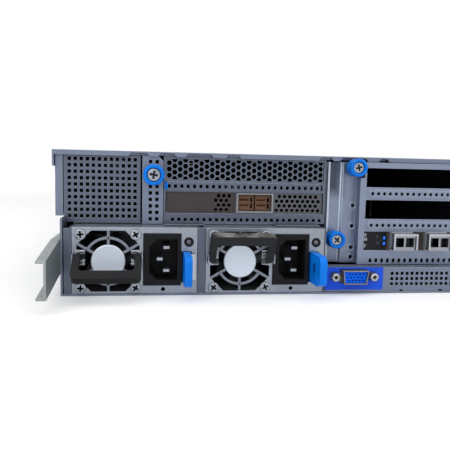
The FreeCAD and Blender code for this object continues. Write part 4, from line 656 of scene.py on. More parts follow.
class RackServerStage(bpy.types.PropertyGroup):
    """Floor, lamps and camera."""
    floor: colour_value("Floor", "Colour of the floor", (240, 241, 243))
    key: bpy.props.FloatProperty(name="Key light", description="Power of the main lamp",
                                 unit="POWER", min=0.0, default=9.0)
    fill: bpy.props.FloatProperty(name="Fill light", description="Power of the side lamp",
                                  unit="POWER", min=0.0, default=4.0)
    top: bpy.props.FloatProperty(name="Top light", description="Power of the lamp above",
                                 unit="POWER", min=0.0, default=8.0)
    sky: factor_value("Sky", "Even light from all round", 0.5)
    lens: bpy.props.FloatProperty(name="Lens", description="Focal length of the camera",
                                  subtype="DISTANCE_CAMERA", unit="CAMERA", default=42.95)


def values():
    return bpy.context.scene.rack_server


class RackServerValues(bpy.types.PropertyGroup):
    """All values of the server's look."""
    finishes: bpy.props.PointerProperty(type=RackServerFinishes)
    screws: bpy.props.PointerProperty(type=RackServerScrews)
    handles: bpy.props.PointerProperty(type=RackServerHandles)
    fans: bpy.props.PointerProperty(type=RackServerFans)
    stage: bpy.props.PointerProperty(type=RackServerStage)


# --------------------------------------------------------------- finishes
def coat(finish, *nodes):
    """Give nodes of the frame a finish."""
    for name in nodes:
        piece = frame["nodes"][name]
        for slot in piece.material_slots:
            slot.material = finish


def numbered(pattern, count):
    """Names with the numbers from 1 to count."""
    return [pattern % number for number in range(1, count + 1)]


def riser_zones(sheet, edge):
    """Painted shade below the cover's lip, painted shade in the seam and painted highlights on the
    folds of the flange.
    """
    flange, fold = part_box("middle_riser")[0].x, across(FOLD_LINE)
    shade = (scaled(sheet, 0.34), (flange - 9 * MM, REAR - 9 * MM, 58.0 * MM),
             (fold + 4 * MM, PANEL + 9 * MM, 0.1), 8.0 * MM)
    # Painted shade along the flange's left edge, a painted highlight beside it, and one on the
    # fold.
    strips = ((scaled(sheet, 0.20), flange - MM, flange + 1.2 * MM),
              (scaled(edge, 0.75), flange + 1.2 * MM, flange + 2.4 * MM),
              (scaled(edge, 0.95), fold - 0.9 * MM, fold + 0.5 * MM))
    return [shade] + [(tone, (low, REAR, 0.0), (high, PANEL + 2 * MM, 0.1))
                      for tone, low, high in strips]


def bay_zones():
    """Shade on the edge of the bay's deck, below the left vent."""
    low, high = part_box("psu_bay")
    return [(linear(26, 29, 33), (low.x - MM, REAR - MM, high.z - MM),
             (across(58.0), PANEL + 20 * MM, high.z + MM))]


def bracket_zones(nickel):
    """Grey perforated end of the lower card's bracket and the bare frame of its ports."""
    ports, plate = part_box("card_connectors"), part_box("expansion_card")
    reach = Vector((1.6, 40.0, 2.4)) * MM
    return [(linear(86, 88, 95), (ports[1].x + MM, plate[0].y - MM, 0.0),
             (plate[1].x + MM, plate[1].y, 0.1)),
            (scaled(nickel, 0.6), tuple(ports[0] - reach), tuple(ports[1] + reach))]


def cage_zones():
    """Bare metal of what stands proud of the network card, and the brown face round it."""
    low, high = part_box("network_card")
    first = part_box("transceiver_1")[0].x - 2.2 * MM
    face = CARD_FACE - 0.05 * MM
    return [(linear(172, 176, 184), (low.x - MM, low.y - MM, 0.0), (high.x + MM, face, 0.1)),
            (linear(74, 68, 64), (first, face, 0.0), (high.x + MM, CARD_FACE + 6 * MM, 0.1))]


def module_zones():
    """Painted shade in the mouths of the two plugged modules."""
    zones = []
    for number in (1, 2):
        low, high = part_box("transceiver_%d" % number)
        zones.append((linear(14, 14, 16),
                      (low.x + 1.0 * MM, low.y + 0.5 * MM, low.z + 1.2 * MM),
                      (high.x - 1.0 * MM, low.y + 12.0 * MM, high.z - 1.2 * MM)))
    return zones


def mix_sheets(look):
    """Sheet of chassis, panels, bay and rails, and the castings on it."""
    sheet, edge = tuple(look.sheet), tuple(look.sheet_edge_highlight)
    # The second colour given to each metal is its painted edge highlight.
    metal("plated_sheet", sheet, edge, 0.72, look.roughness, spangle=0.10, dust=look.dust)
    metal("bright_zinc", tuple(look.zinc), linear(226, 230, 236), 0.8, 0.33, spangle=0.22,
          dust=look.dust)
    metal("cast_guard", tuple(look.guard), linear(190, 197, 208), 0.55, 0.42, grain=1500.0,
          relief=0.10, dust=0.1)
    metal("galvanised_rail", tuple(look.rail), linear(228, 226, 214), 0.75, 0.40,
          stretch=(1.0, 0.2, 1.0), spangle=0.35, dust=look.dust)
    metal("brushed_disc", linear(204, 213, 226), linear(236, 242, 250), 0.3, 0.42,
          stretch=(0.25, 1.0, 1.0), dust=0.03, relief=0.03)
    metal("finned_aluminium", linear(190, 193, 197), linear(235, 236, 238), 0.9, 0.35,
          stretch=(1.0, 0.1, 1.0), dust=0.3)
    # Plated sheet darkened as painted shade for the bay, with the painted shade of bay_zones on its
    # deck's edge.
    metal("shaded_bay_sheet", scaled(sheet, 0.62), scaled(edge, 0.8), 0.6, look.roughness, dust=0.05,
          zones=bay_zones())
    # Plated sheet darkened as painted shade, for the vent plate, the double slot module and the
    # blank panel.
    metal("shaded_sheet", scaled(sheet, 0.62), edge, 0.7, look.roughness, spangle=0.08,
          dust=look.dust)
    # riser_zones paints shade and highlights onto this sheet.
    metal("riser_sheet", scaled(sheet, 1.22), edge, 0.72, look.roughness, spangle=0.10,
          dust=look.dust, zones=riser_zones(sheet, edge))


def mix_small_metals(look):
    """Screws, contacts, shells and the brackets of the cards."""
    nickel = tuple(look.nickel)
    # The second colour given to each metal is its painted edge highlight.
    metal("nickel_plate", nickel, linear(240, 242, 246), 0.95, 0.24, dust=0.1, relief=0.02,
          radius=0.0002)
    metal("turned_steel", linear(150, 156, 166), linear(236, 240, 246), 0.9, 0.22, dust=0.03,
          relief=0.04, radius=0.0002)
    metal("recess_shade", linear(44, 47, 54), linear(90, 94, 104), 0.6, 0.5, dust=0.0)
    metal("contact_copper", tuple(look.copper), linear(206, 160, 116), 0.7, 0.36, dust=0.03,
          relief=0.02, radius=0.0001)
    metal("brassy_shell", linear(150, 142, 112), linear(226, 218, 188), 0.8, 0.28, dust=0.05,
          relief=0.02, radius=0.0002)
    metal("dark_bracket", tuple(look.dark_bracket), linear(170, 168, 170), 0.5, 0.42,
          zones=bracket_zones(nickel), radius=0.0003)
    metal("cage_and_bracket", linear(24, 24, 27), linear(150, 152, 156), 0.7, 0.36,
          zones=cage_zones(), radius=0.0003)
    # module_shell carries the painted shade in the modules' mouths.
    metal("module_shell", scaled(nickel, 0.7), linear(236, 238, 242), 0.9, 0.30, dust=0.1,
          relief=0.02, zones=module_zones(), radius=0.0003)


def mix_mouldings(look):
    """Plastics, boards and lenses."""
    azure, black = tuple(look.azure), tuple(look.black)
    moulding("black_moulding", black, 0.44, relief=0.05, dust=0.02, gloss=0.16)
    # Paler copy of the black moulding, with a strong dust mask on faces that look up, for the
    # raised handle.
    moulding("paler_moulding", scaled(black, 1.4), 0.5, relief=0.05, dust=0.7, gloss=0.25)
    moulding("grille_moulding", linear(46, 48, 52), 0.5, relief=0.05, dust=0.05, gloss=0.3)
    moulding("fan_moulding", linear(26, 27, 30), 0.36, dust=0.05)
    moulding("azure_moulding", azure, 0.42, relief=0.02, edge_highlight_lift=1.35, dust=0.02, gloss=0.16,
             radius=0.0005)
    # Darker azure: painted shade in the latches' slots and dimples.
    moulding("azure_pocket_shade", scaled(azure, 0.3), 0.5, dust=0.0, gloss=0.1)
    # socket_shade is the painted shade in the video port's sockets.
    moulding("socket_shade", linear(6, 16, 52), 0.5, dust=0.0, gloss=0.1)
    moulding("video_blue", tuple(look.video_blue), 0.42, edge_highlight_lift=1.5, dust=0.05, gloss=0.25)
    moulding("port_insert", linear(2, 96, 236), 0.42, dust=0.01, gloss=0.12)
    moulding("comb_moulding", linear(92, 62, 40), 0.45, dust=0.03)
    moulding("button_grey", linear(150, 156, 164), 0.4, dust=0.1)
    moulding("solder_mask", linear(18, 60, 42), 0.3, grain=1200.0, relief=0.04, dust=0.25,
             edge_highlight_lift=1.4)
    moulding("pale_mark", linear(188, 192, 198), 0.5, dust=0.05)
    lamp_lens("clear_lens", linear(88, 92, 98), 0.0)
    lamp_lens("green_lens", linear(70, 150, 96), 0.15)
    lamp_lens("blue_lens", linear(20, 110, 236), 0.6)


class RACK_SERVER_OT_mix_finishes(bpy.types.Operator):
    """Mix every finish of the server"""
    bl_idname = "rack_server.mix_finishes"
    bl_label = "Mix finishes"

    def execute(self, context):
        look = values().finishes
        mix_sheets(look)
        mix_small_metals(look)
        mix_mouldings(look)
        return {"FINISHED"}


class RACK_SERVER_OT_coat_frame(bpy.types.Operator):
    """Give every node of the frame its finish"""
    bl_idname = "rack_server.coat_frame"
    bl_label = "Coat the frame"

    def execute(self, context):
        coat(FINISHES["plated_sheet"], "chassis_pan", "front_cover", "top_cover",
             "module_bracket", "slot_blanks", "io_strip", "mounting_ears", "drive_cage",
             "fan_bracket")
        # Painted shade: these panels take the darkened copy of the plated sheet.
        coat(FINISHES["shaded_sheet"], "left_vent_plate", "middle_module", "hex_blank_panel")
        coat(FINISHES["riser_sheet"], "middle_riser", "right_riser")
        coat(FINISHES["bright_zinc"], "psu_1_case", "psu_2_case", "io_ports", "cover_latch")
        # Painted shade: the bay takes a darkened copy of the plated sheet.
        coat(FINISHES["shaded_bay_sheet"], "psu_bay")
        coat(FINISHES["cast_guard"], "psu_1_grille", "psu_2_grille")
        coat(FINISHES["galvanised_rail"], "rack_rails")
        coat(FINISHES["dark_bracket"], "expansion_card")
        coat(FINISHES["cage_and_bracket"], "network_card")
        coat(FINISHES["comb_moulding"], "card_connectors")
        coat(FINISHES["black_moulding"], "psu_1_inlet", "psu_2_inlet", "psu_1_handle",
             "psu_2_handle", "air_duct", "bay_blanks", *numbered("drive_%d_carrier", 2),
             *numbered("drive_%d_lever", 2))
        coat(FINISHES["fan_moulding"], "fan_frames", *numbered("fan_rotor_%d", 4),
             *numbered("psu_%d_rotor", 2))
        coat(FINISHES["azure_moulding"], *numbered("thumbscrew_%d", 4),
             *numbered("psu_%d_latch", 2))
        coat(FINISHES["video_blue"], "vga_plate")
        coat(FINISHES["brassy_shell"], "vga_connector")
        coat(FINISHES["module_shell"], *numbered("transceiver_%d", 2))
        coat(FINISHES["nickel_plate"], *numbered("bail_%d", 2))
        coat(FINISHES["solder_mask"], "motherboard", "backplane", "power_board",
             "memory_modules")
        coat(FINISHES["finned_aluminium"], "cpu_heatsinks")
        coat(FINISHES["button_grey"], "power_button")
        return {"FINISHED"}


# ---------------------------------------------------------------- the pieces
def screw_finishes():
    """Finish of a screw, and the painted shade of its recess."""
    return FINISHES["turned_steel"], FINISHES["recess_shade"]


class RACK_SERVER_OT_captive_screws(bpy.types.Operator):
    """Turn the azure captive screws with their ribbed sleeves"""
    bl_idname = "rack_server.captive_screws"
    bl_label = "Captive screws"

    def execute(self, context):
        sizes = values().screws
        for number in range(1, 5):
            body = "thumbscrew_%d" % number
            low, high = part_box(body)
            place = along_y((low.x + high.x) / 2, (low.z + high.z) / 2)
            radius = (high.x - low.x) / 2
            bore = radius * sizes.sleeve_bore
            face, back = low.y, low.y + sizes.sleeve_length
            bm = bmesh.new()
            turned(bm, place, [
                (face + 2.4 * MM, bore, False), (face + 0.5 * MM, bore, False),
                (face + 0.12 * MM, bore + 0.18 * MM, False), (face, bore + 0.5 * MM, False),
                (face, radius - 0.9 * MM, False), (face + 0.15 * MM, radius - 0.35 * MM, False),
                (face + 0.6 * MM, radius, False), (face + 1.9 * MM, radius, False),
                (face + 2.2 * MM, radius, True), (back - 1.5 * MM, radius, True),
                (back - 1.2 * MM, radius, False), (back - 0.3 * MM, radius, False),
                (back, radius - 0.4 * MM, False), (back, bore - 0.4 * MM, False)],
                steps=72, ribs=sizes.rib_depth)
            settle("captive_sleeve_%d" % number, bm, FINISHES["azure_moulding"], body,
                   smooth_angle=50, replaces=(body,))
            bm = bmesh.new()
            head = bore - 0.12 * MM
            screw_head(bm, place, face + 1.1 * MM, head, 4.0 * MM, 0.4 + number)
            turned(bm, place, plain([(face + 5.1 * MM, 0.0), (face + 5.1 * MM, head),
                                     (back - 0.2 * MM, head), (back - 0.2 * MM, 1.95 * MM),
                                     (high.y - 0.6 * MM, 1.95 * MM), (high.y, 1.4 * MM),
                                     (high.y, 0.0)]), steps=28)
            settle("captive_screw_%d" % number, bm, screw_finishes(), body)
        return {"FINISHED"}


def fan_axis(number):
    """Place of a power supply's fan axis on the rear face."""
    low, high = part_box("psu_%d_grille" % number)
    return (low.x + high.x) / 2, (low.z + high.z) / 2


class RACK_SERVER_OT_fan_guards(bpy.types.Operator):
    """Cast finger guards with a bare disc, ring and spokes"""
    bl_idname = "rack_server.fan_guards"
    bl_label = "Fan guards"

    def execute(self, context):
        sizes = values().fans
        half, corner = sizes.opening_half, sizes.opening_corner
        for number in POWER_SUPPLIES:
            body = "psu_%d" % number
            place = along_y(*fan_axis(number))
            bm = bmesh.new()
            for start, end in ((30, 150), (210, 330)):
                arc_band(bm, place, sizes.ring_radius, sizes.bar_width, REAR, REAR + 1.6 * MM,
                         math.radians(start), math.radians(end))
            for angle in range(30, 390, 60):
                turn = math.radians(angle)
                c, s = math.cos(turn), math.sin(turn)
                reach = min(half / max(abs(c), 1e-6), half / max(abs(s), 1e-6),
                            (2 * half - corner) / (abs(c) + abs(s))) + 0.2 * MM
                side = sizes.bar_width / 2
                outline = [(c * r - s * w, s * r + c * w) for r, w in
                           ((sizes.disc_radius - MM, -side), (reach, -side), (reach, side),
                            (sizes.disc_radius - MM, side))]
                slab(bm, place, outline, REAR, REAR + 1.6 * MM)
            turned(bm, place, plain([(REAR + 1.0 * MM, 0.0), (REAR + 1.0 * MM, 1.5 * MM),
                                     (REAR + 12.0 * MM, 1.5 * MM), (REAR + 12.0 * MM, 0.0)]),
                   steps=20)
            settle("fan_guard_%d" % number, bm, FINISHES["cast_guard"], body,
                   bevel=0.28 * MM, replaces=("psu_%d_grille" % number,))
            disc = sizes.disc_radius
            bm = bmesh.new()
            turned(bm, place, plain([
                (REAR - 0.50 * MM, 0.0), (REAR - 0.50 * MM, disc * 0.62),
                (REAR - 0.58 * MM, disc * 0.66), (REAR - 0.58 * MM, disc * 0.84),
                (REAR - 0.78 * MM, disc * 0.88), (REAR - 0.78 * MM, disc * 0.94),
                (REAR - 0.45 * MM, disc), (REAR + 2.0 * MM, disc), (REAR + 2.0 * MM, 0.0)]))
            settle("guard_disc_%d" % number, bm, FINISHES["brushed_disc"], body,
                   smooth_angle=25)
        return {"FINISHED"}


def swept_blade(place, root, tip, base, near, depth, twist, spans=7, chords=6):
    """Grid of points over one cambered blade, from its root to its tip."""
    grid = []
    for i in range(spans + 1):
        t = i / spans
        radius = root + (tip - root) * t
        chord = depth * 0.80 * (0.85 + 0.15 * math.sin(math.pi * t))
        pitch = twist + 0.28 * (1 - t)
        row = []
        for j in range(chords + 1):
            u = j / chords - 0.5
            camber = 0.10 * chord * (1 - 4 * u * u)
            along = u * chord * math.cos(pitch) - camber * math.sin(pitch)
            sideways = u * chord * math.sin(pitch) + camber * math.cos(pitch)
            turn = base + 0.30 * t + sideways / radius
            row.append(place(radius * math.cos(turn), radius * math.sin(turn),
                             near + depth / 2 + along))
        grid.append(row)
    return grid


def thick_sheet(bm, grid, half_thickness):
    """Closed shell on both sides of a grid of points."""
    skins = []
    for _ in range(2):
        verts = [[bm.verts.new(point) for point in row] for row in grid]
        skins.append([bm.faces.new((here[j], there[j], there[j + 1], here[j + 1]))
                      for here, there in zip(verts, verts[1:]) for j in range(len(here) - 1)])
    bm.normal_update()
    rims = []
    for side, skin in zip((-1, 1), skins):
        normals = {}
        for face in skin:
            for vert in face.verts:
                normals[vert] = normals.get(vert, Vector()) + face.normal
        for vert, normal in normals.items():
            vert.co += normal.normalized() * side * half_thickness
        edges = dict.fromkeys(edge for face in skin for edge in face.edges)
        rims += [edge for edge in edges if len(edge.link_faces) == 1]
    bmesh.ops.bridge_loops(bm, edges=rims)


def bladed_rotor(name, joint, node, hub, blades, twist):
    """Cup-shaped hub with swept blades, on the axis of its joint."""
    axis = Vector(JOINTS[joint]["pos_m"])
    low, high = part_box(node)
    tip = max(high.x - axis.x, axis.x - low.x) * 0.985
    near, depth = low.y, high.y - low.y
    place = along_y(axis.x, axis.z)
    bm = bmesh.new()
    turned(bm, place, plain([
        (near + 0.8 * MM, hub * 0.25), (near + 0.2 * MM, hub * 0.3), (near + 0.2 * MM, hub * 0.82),
        (near + 0.5 * MM, hub * 0.95), (near + 1.4 * MM, hub), (near + depth, hub),
        (near + depth, hub * 0.86), (near + 2.6 * MM, hub * 0.84), (near + 2.6 * MM, hub * 0.25),
        (near + 0.8 * MM, hub * 0.25)]), steps=40)
    for blade in range(blades):
        base = 2 * math.pi * blade / blades
        thick_sheet(bm, swept_blade(place, hub * 0.96, tip, base, near, depth, twist),
                    0.45 * MM)
    body = JOINTS[joint]["child"]
    settle(name, bm, FINISHES["fan_moulding"], body, replaces=(node,))


class RACK_SERVER_OT_fan_rotors(bpy.types.Operator):
    """Rotors of the power supplies and of the system fans"""
    bl_idname = "rack_server.fan_rotors"
    bl_label = "Fan rotors"

    def execute(self, context):
        twist = values().fans.blade_twist
        for number in POWER_SUPPLIES:
            bladed_rotor("supply_rotor_%d" % number, "psu_%d_fan_spin" % number,
                         "psu_%d_rotor" % number, 9.0 * MM, 7, twist)
        for number in range(1, 5):
            bladed_rotor("system_rotor_%d" % number, "fan_%d_spin" % number,
                         "fan_rotor_%d" % number, 15.5 * MM, 7, twist)
        return {"FINISHED"}


class RACK_SERVER_OT_case_screws(bpy.types.Operator):
    """Cross recessed screws round each power supply fan"""
    bl_idname = "rack_server.case_screws"
    bl_label = "Case screws"

    def execute(self, context):
        sizes = values().screws
        for number in POWER_SUPPLIES:
            x, z = fan_axis(number)
            bm = bmesh.new()
            for k, (side, level) in enumerate(((-1, -1), (1, -1), (1, 1), (-1, 1))):
                offset = sizes.case_screw_offset
                screw_head(bm, along_y(x + side * offset, z + level * offset), REAR - 1.1 * MM,
                           sizes.case_screw, 1.1 * MM, 0.5 + 1.1 * k + number)
            settle("case_screws_%d" % number, bm, screw_finishes(), "psu_%d" % number)
        return {"FINISHED"}


def handle_outline(sizes):
    """Bail with two arms, whose feet reach past the pivot."""
    half, reach, foot = sizes.half_width, sizes.reach, sizes.foot
    inside, under = half - sizes.arm, reach - sizes.grip
    outer = rounded([(-half, -foot), (-half, reach), (half, reach), (half, -foot)],
                    3.6 * MM, 6)
    inner = rounded([(inside, -foot), (inside, under), (-inside, under), (-inside, -foot)],
                    2.4 * MM, 6)
    return outer + inner


def handle_springs(number, pivot, sizes):
    """Plates and coils on the case, beside the feet of a handle's arms."""
    half, inside = sizes.half_width, sizes.half_width - sizes.arm
    face = REAR - 0.5 * MM
    springs = bmesh.new()
    for side in (-1, 1):
        near, far = sorted((side * (half - 0.3 * MM), side * (inside - 2.2 * MM)))
        bar(springs, (pivot.x + near, face, pivot.z - 4.6 * MM),
            (pivot.x + far, REAR + 0.1 * MM, pivot.z + 4.6 * MM))
        near, far = sorted((side * (inside + 0.6 * MM), side * (inside - 2.2 * MM)))
        for k in range(-2, 3):
            turned(springs, along_x(pivot.x, face, pivot.z + 1.9 * k * MM),
                   plain([(near, 0.0), (near, 0.65 * MM), (far, 0.65 * MM), (far, 0.0)]),
                   steps=16)
    settle("handle_springs_%d" % number, springs, FINISHES["turned_steel"],
           "psu_%d" % number, bevel=0.15 * MM)


class RACK_SERVER_OT_supply_handles(bpy.types.Operator):
    """Moulded bail handles of the power supplies"""
    bl_idname = "rack_server.supply_handles"
    bl_label = "Power supply handles"

    def execute(self, context):
        sizes = values().handles
        half, thick = sizes.half_width, sizes.thickness
        for number, raised in zip(POWER_SUPPLIES, HANDLE_ANGLES):
            joint = JOINTS["psu_%d_handle_hinge" % number]
            pivot = Vector(joint["pos_m"])
            spin = Matrix.Rotation(math.radians(-raised), 4, "X")

            def on_handle(a, b, depth):
                return pivot + spin @ Vector((a, -b, depth))

            def round_pivot(a, b, depth):
                return pivot + spin @ Vector((depth, a, b))

            bm = bmesh.new()
            slab(bm, on_handle, handle_outline(sizes), -thick / 2, thick / 2)
            for side in (-1, 1):
                start, end = side * (half - 1.0 * MM), side * (half + 0.88 * MM)
                turned(bm, round_pivot, plain([(start, 0.0), (start, 1.58 * MM),
                                               (end, 1.58 * MM), (end, 0.0)]), steps=24)
            # The raised handle takes the paler copy of the black moulding.
            finish = FINISHES["black_moulding" if raised < 0 else "paler_moulding"]
            settle("supply_handle_%d" % number, bm, finish, joint["child"],
                   bevel=0.9 * MM, segments=4, replaces=("psu_%d_handle" % number,))
            handle_springs(number, pivot, sizes)
        return {"FINISHED"}


class RACK_SERVER_OT_supply_latches(bpy.types.Operator):
    """Azure release latches with their slot and dimple"""
    bl_idname = "rack_server.supply_latches"
    bl_label = "Power supply latches"

    def execute(self, context):
        for number in POWER_SUPPLIES:
            node = "psu_%d_latch" % number
            low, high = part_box(node)
            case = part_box("psu_%d_case" % number)
            left = case[0].x + LATCH_LEFT
            thick = 4.3 * MM
            bottom, top = case[0].z + LATCH_BOTTOM, case[0].z + LATCH_TOP
            outline = rounded([(low.y, bottom + 2.6 * MM), (low.y + 4.6 * MM, bottom),
                               (REAR + 6.0 * MM, bottom), (REAR + 6.0 * MM, top),
                               (low.y + 2.8 * MM, top), (low.y, top - 2.8 * MM)], 2.6 * MM, 5)
            slot = rounded(rectangle(low.y + 10.0 * MM, low.y + 14.4 * MM, top - 11.2 * MM,
                                     top - 5.4 * MM), 0.9 * MM, 4)
            dimple = circle(0.9 * MM, 14, low.y + 12.2 * MM, top - 13.4 * MM)

            def place(a, b, depth):
                return Vector((left + depth, a, b))

            bm = bmesh.new()
            slab(bm, place, outline, 0.0, thick, (slot, dimple), 1.6 * MM, 0.9)
            # The second finish is the painted shade in the slot and dimple.
            finishes = (FINISHES["azure_moulding"], FINISHES["azure_pocket_shade"])
            settle("supply_latch_%d" % number, bm, finishes, node,
                   bevel=0.45 * MM, segments=3, replaces=(node,))
            spring = bmesh.new()
            bar(spring, (left + thick - 0.8 * MM, REAR - 2.4 * MM, bottom + 1.6 * MM),
                (case[1].x - 0.9 * MM, REAR - 1.6 * MM, top - MM))
            turned(spring, along_z(left + thick / 2, REAR + 4.5 * MM),
                   plain([(low.z, 0.0), (low.z, 1.2 * MM), (high.z, 1.2 * MM), (high.z, 0.0)]),
                   steps=20)
            settle("latch_spring_%d" % number, spring, FINISHES["nickel_plate"], node,
                   bevel=0.15 * MM)
        return {"FINISHED"}


class RACK_SERVER_OT_mains_blades(bpy.types.Operator):
    """Metal blades and the raised rim of each mains inlet"""
    bl_idname = "rack_server.mains_blades"
    bl_label = "Mains inlets"

    def execute(self, context):
        for number in POWER_SUPPLIES:
            body = "psu_%d" % number
            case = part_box("psu_%d_case" % number)[0]
            middle = case.z + INLET_MIDDLE
            left = case.x + INLET_LEFT
            bm = bmesh.new()
            for dx, dz in ((6.2, 0.0), (10.2, 7.0), (10.2, -7.0)):
                x, z = left + dx * MM, middle + dz * MM
                bar(bm, (x - 2.07 * MM, REAR + 1.4 * MM, z - 1.07 * MM),
                    (x + 2.07 * MM, REAR + 16.9 * MM, z + 1.07 * MM))
            settle("mains_blades_%d" % number, bm, FINISHES["turned_steel"], body,
                   bevel=0.5 * MM, segments=3)
            low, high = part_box("psu_%d_inlet" % number)
            edge = 0.1 * MM
            outer = rounded(rectangle(low.x + edge, high.x - edge, low.z + edge,
                                      high.z - edge), 1.8 * MM, 4)
            x0, x1 = left - 0.5 * MM, left + 17.1 * MM
            z0, z1 = middle - 12.8 * MM, middle + 12.8 * MM
            cut = 4.6 * MM
            mouth = [(x0 + cut, z0), (x1, z0), (x1, z1), (x0 + cut, z1), (x0, z1 - cut),
                     (x0, z0 + cut)]
            rim = bmesh.new()
            pierced_plate(rim, along_y(0.0, 0.0), outer, mouth, low.y - 0.25 * MM,
                          low.y + 0.05 * MM)
            settle("inlet_rim_%d" % number, rim, FINISHES["black_moulding"], body)
        return {"FINISHED"}


class RACK_SERVER_OT_status_lights(bpy.types.Operator):
    """Status lights of the power supplies, in their bezels"""
    bl_idname = "rack_server.status_lights"
    bl_label = "Status lights"

    def execute(self, context):
        for number in POWER_SUPPLIES:
            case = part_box("psu_%d_case" % number)[0]
            place = along_y(case.x + STATUS_LIGHT[0], case.z + STATUS_LIGHT[1])
            bm = bmesh.new()
            turned(bm, place, plain([
                (REAR + 1.0 * MM, 1.55 * MM), (REAR - 0.25 * MM, 1.7 * MM),
                (REAR - 0.45 * MM, 1.95 * MM), (REAR - 0.4 * MM, 2.7 * MM),
                (REAR - 0.05 * MM, 2.95 * MM), (REAR + 1.0 * MM, 2.5 * MM)]), steps=32)
            settle("light_bezel_%d" % number, bm, FINISHES["black_moulding"], "psu_%d" % number)
            bm = bmesh.new()
            turned(bm, place, plain([
                (REAR - 0.35 * MM, 0.0), (REAR - 0.3 * MM, 0.7 * MM), (REAR - 0.1 * MM, 1.25 * MM),
                (REAR + 0.2 * MM, 1.55 * MM), (REAR + 1.2 * MM, 1.55 * MM),
                (REAR + 1.2 * MM, 0.0)]), steps=28)
            settle("light_lens_%d" % number, bm, FINISHES["clear_lens"], "psu_%d" % number,
                   smooth_angle=70)
        return {"FINISHED"}


class RACK_SERVER_OT_bay_foot(bpy.types.Operator):
    """Folded foot under the left flange of the power supply bay"""
    bl_idname = "rack_server.bay_foot"
    bl_label = "Bay foot"

    def execute(self, context):
        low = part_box("psu_bay")[0]
        bm = bmesh.new()
        bar(bm, (low.x + 0.05 * MM, REAR + 0.1 * MM, low.z + 0.1 * MM),
            (low.x + 3.9 * MM, REAR + 0.9 * MM, low.z + 3.5 * MM))
        # The foot takes the bay's sheet, darkened as painted shade.
        settle("bay_foot", bm, FINISHES["shaded_bay_sheet"], "chassis", bevel=0.3 * MM)
        return {"FINISHED"}


class RACK_SERVER_OT_rib_tab(bpy.types.Operator):
    """Azure tab at the left end of the double slot module's upper rib"""
    bl_idname = "rack_server.rib_tab"
    bl_label = "Rib tab"

    def execute(self, context):
        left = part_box("middle_module")[0].x + 0.6 * MM
        bm = bmesh.new()
        slab(bm, along_y(left, 65.4 * MM), rounded(rectangle(0.0, 2.0 * MM, -2.2 * MM, 2.2 * MM),
                                                   0.6 * MM, 3), PANEL - 1.9 * MM, PANEL)
        settle("rib_tab", bm, FINISHES["azure_moulding"], "chassis",
               bevel=0.25 * MM)
        return {"FINISHED"}


class RACK_SERVER_OT_network_card(bpy.types.Operator):
    """Lights, marks, solder lumps and spring fingers of the network card"""
    bl_idname = "rack_server.network_card"
    bl_label = "Network card"

    def execute(self, context):
        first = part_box("transceiver_1")
        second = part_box("transceiver_2")
        z = (first[0].z + first[1].z) / 2
        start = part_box("network_card")[0].x
        gap = first[0].x - start
        lights = bmesh.new()
        for level in (-1.7, 1.9):
            slab(lights, along_y(start + gap * 0.80, z + level * MM),
                 rounded(rectangle(-0.7 * MM, 0.7 * MM, -1.0 * MM, 1.0 * MM), 0.3 * MM, 3),
                 CARD_FACE - 0.3 * MM, CARD_FACE)
        settle("link_lights", lights, FINISHES["blue_lens"], "chassis")
        marks = bmesh.new()
        for dx, dz, w, h in ((2.0, 4.2, 1.1, 0.3), (2.0, 3.1, 0.9, 0.3), (2.0, 0.9, 0.5, 0.9),
                             (3.2, 0.9, 0.3, 0.9), (2.1, -2.6, 0.9, 0.3), (2.1, -3.9, 0.5, 0.5)):
            slab(marks, along_y(start + dx * MM, z + dz * MM),
                 rectangle(-w * MM, w * MM, -h * MM, h * MM), CARD_FACE - 0.06 * MM, CARD_FACE)
        settle("card_marks", marks, FINISHES["pale_mark"], "chassis")
        lumps = bmesh.new()
        for part, level, r in ((0.56, 2.3, 1.7), (0.58, -1.9, 1.9), (0.69, 0.4, 1.0),
                               (0.42, 0.2, 0.8), (0.45, -3.6, 0.7)):
            r *= MM
            turned(lumps, along_y(start + gap * part, z + level * MM),
                   plain([(CARD_FACE - r * 0.5, 0.0), (CARD_FACE - r * 0.45, r * 0.5),
                          (CARD_FACE - r * 0.25, r * 0.86), (CARD_FACE, r), (CARD_FACE, 0.0)]),
                   steps=20)
        settle("card_lumps", lumps, FINISHES["recess_shade"], "chassis",
               smooth_angle=70)
        fingers = bmesh.new()
        for box in (first, second):
            for k in range(6):
                x = box[0].x + 1.4 * MM + k * 2.15 * MM
                for level, sign in ((box[1].z + 0.45 * MM, 1), (box[0].z - 0.45 * MM, -1)):
                    z0, z1 = sorted((level, level + sign * 0.35 * MM))
                    bar(fingers, (x, RISER - 1.8 * MM, z0), (x + 1.5 * MM, CARD_FACE, z1))
        settle("cage_fingers", fingers, FINISHES["nickel_plate"], "chassis",
               bevel=0.12 * MM)
        return {"FINISHED"}


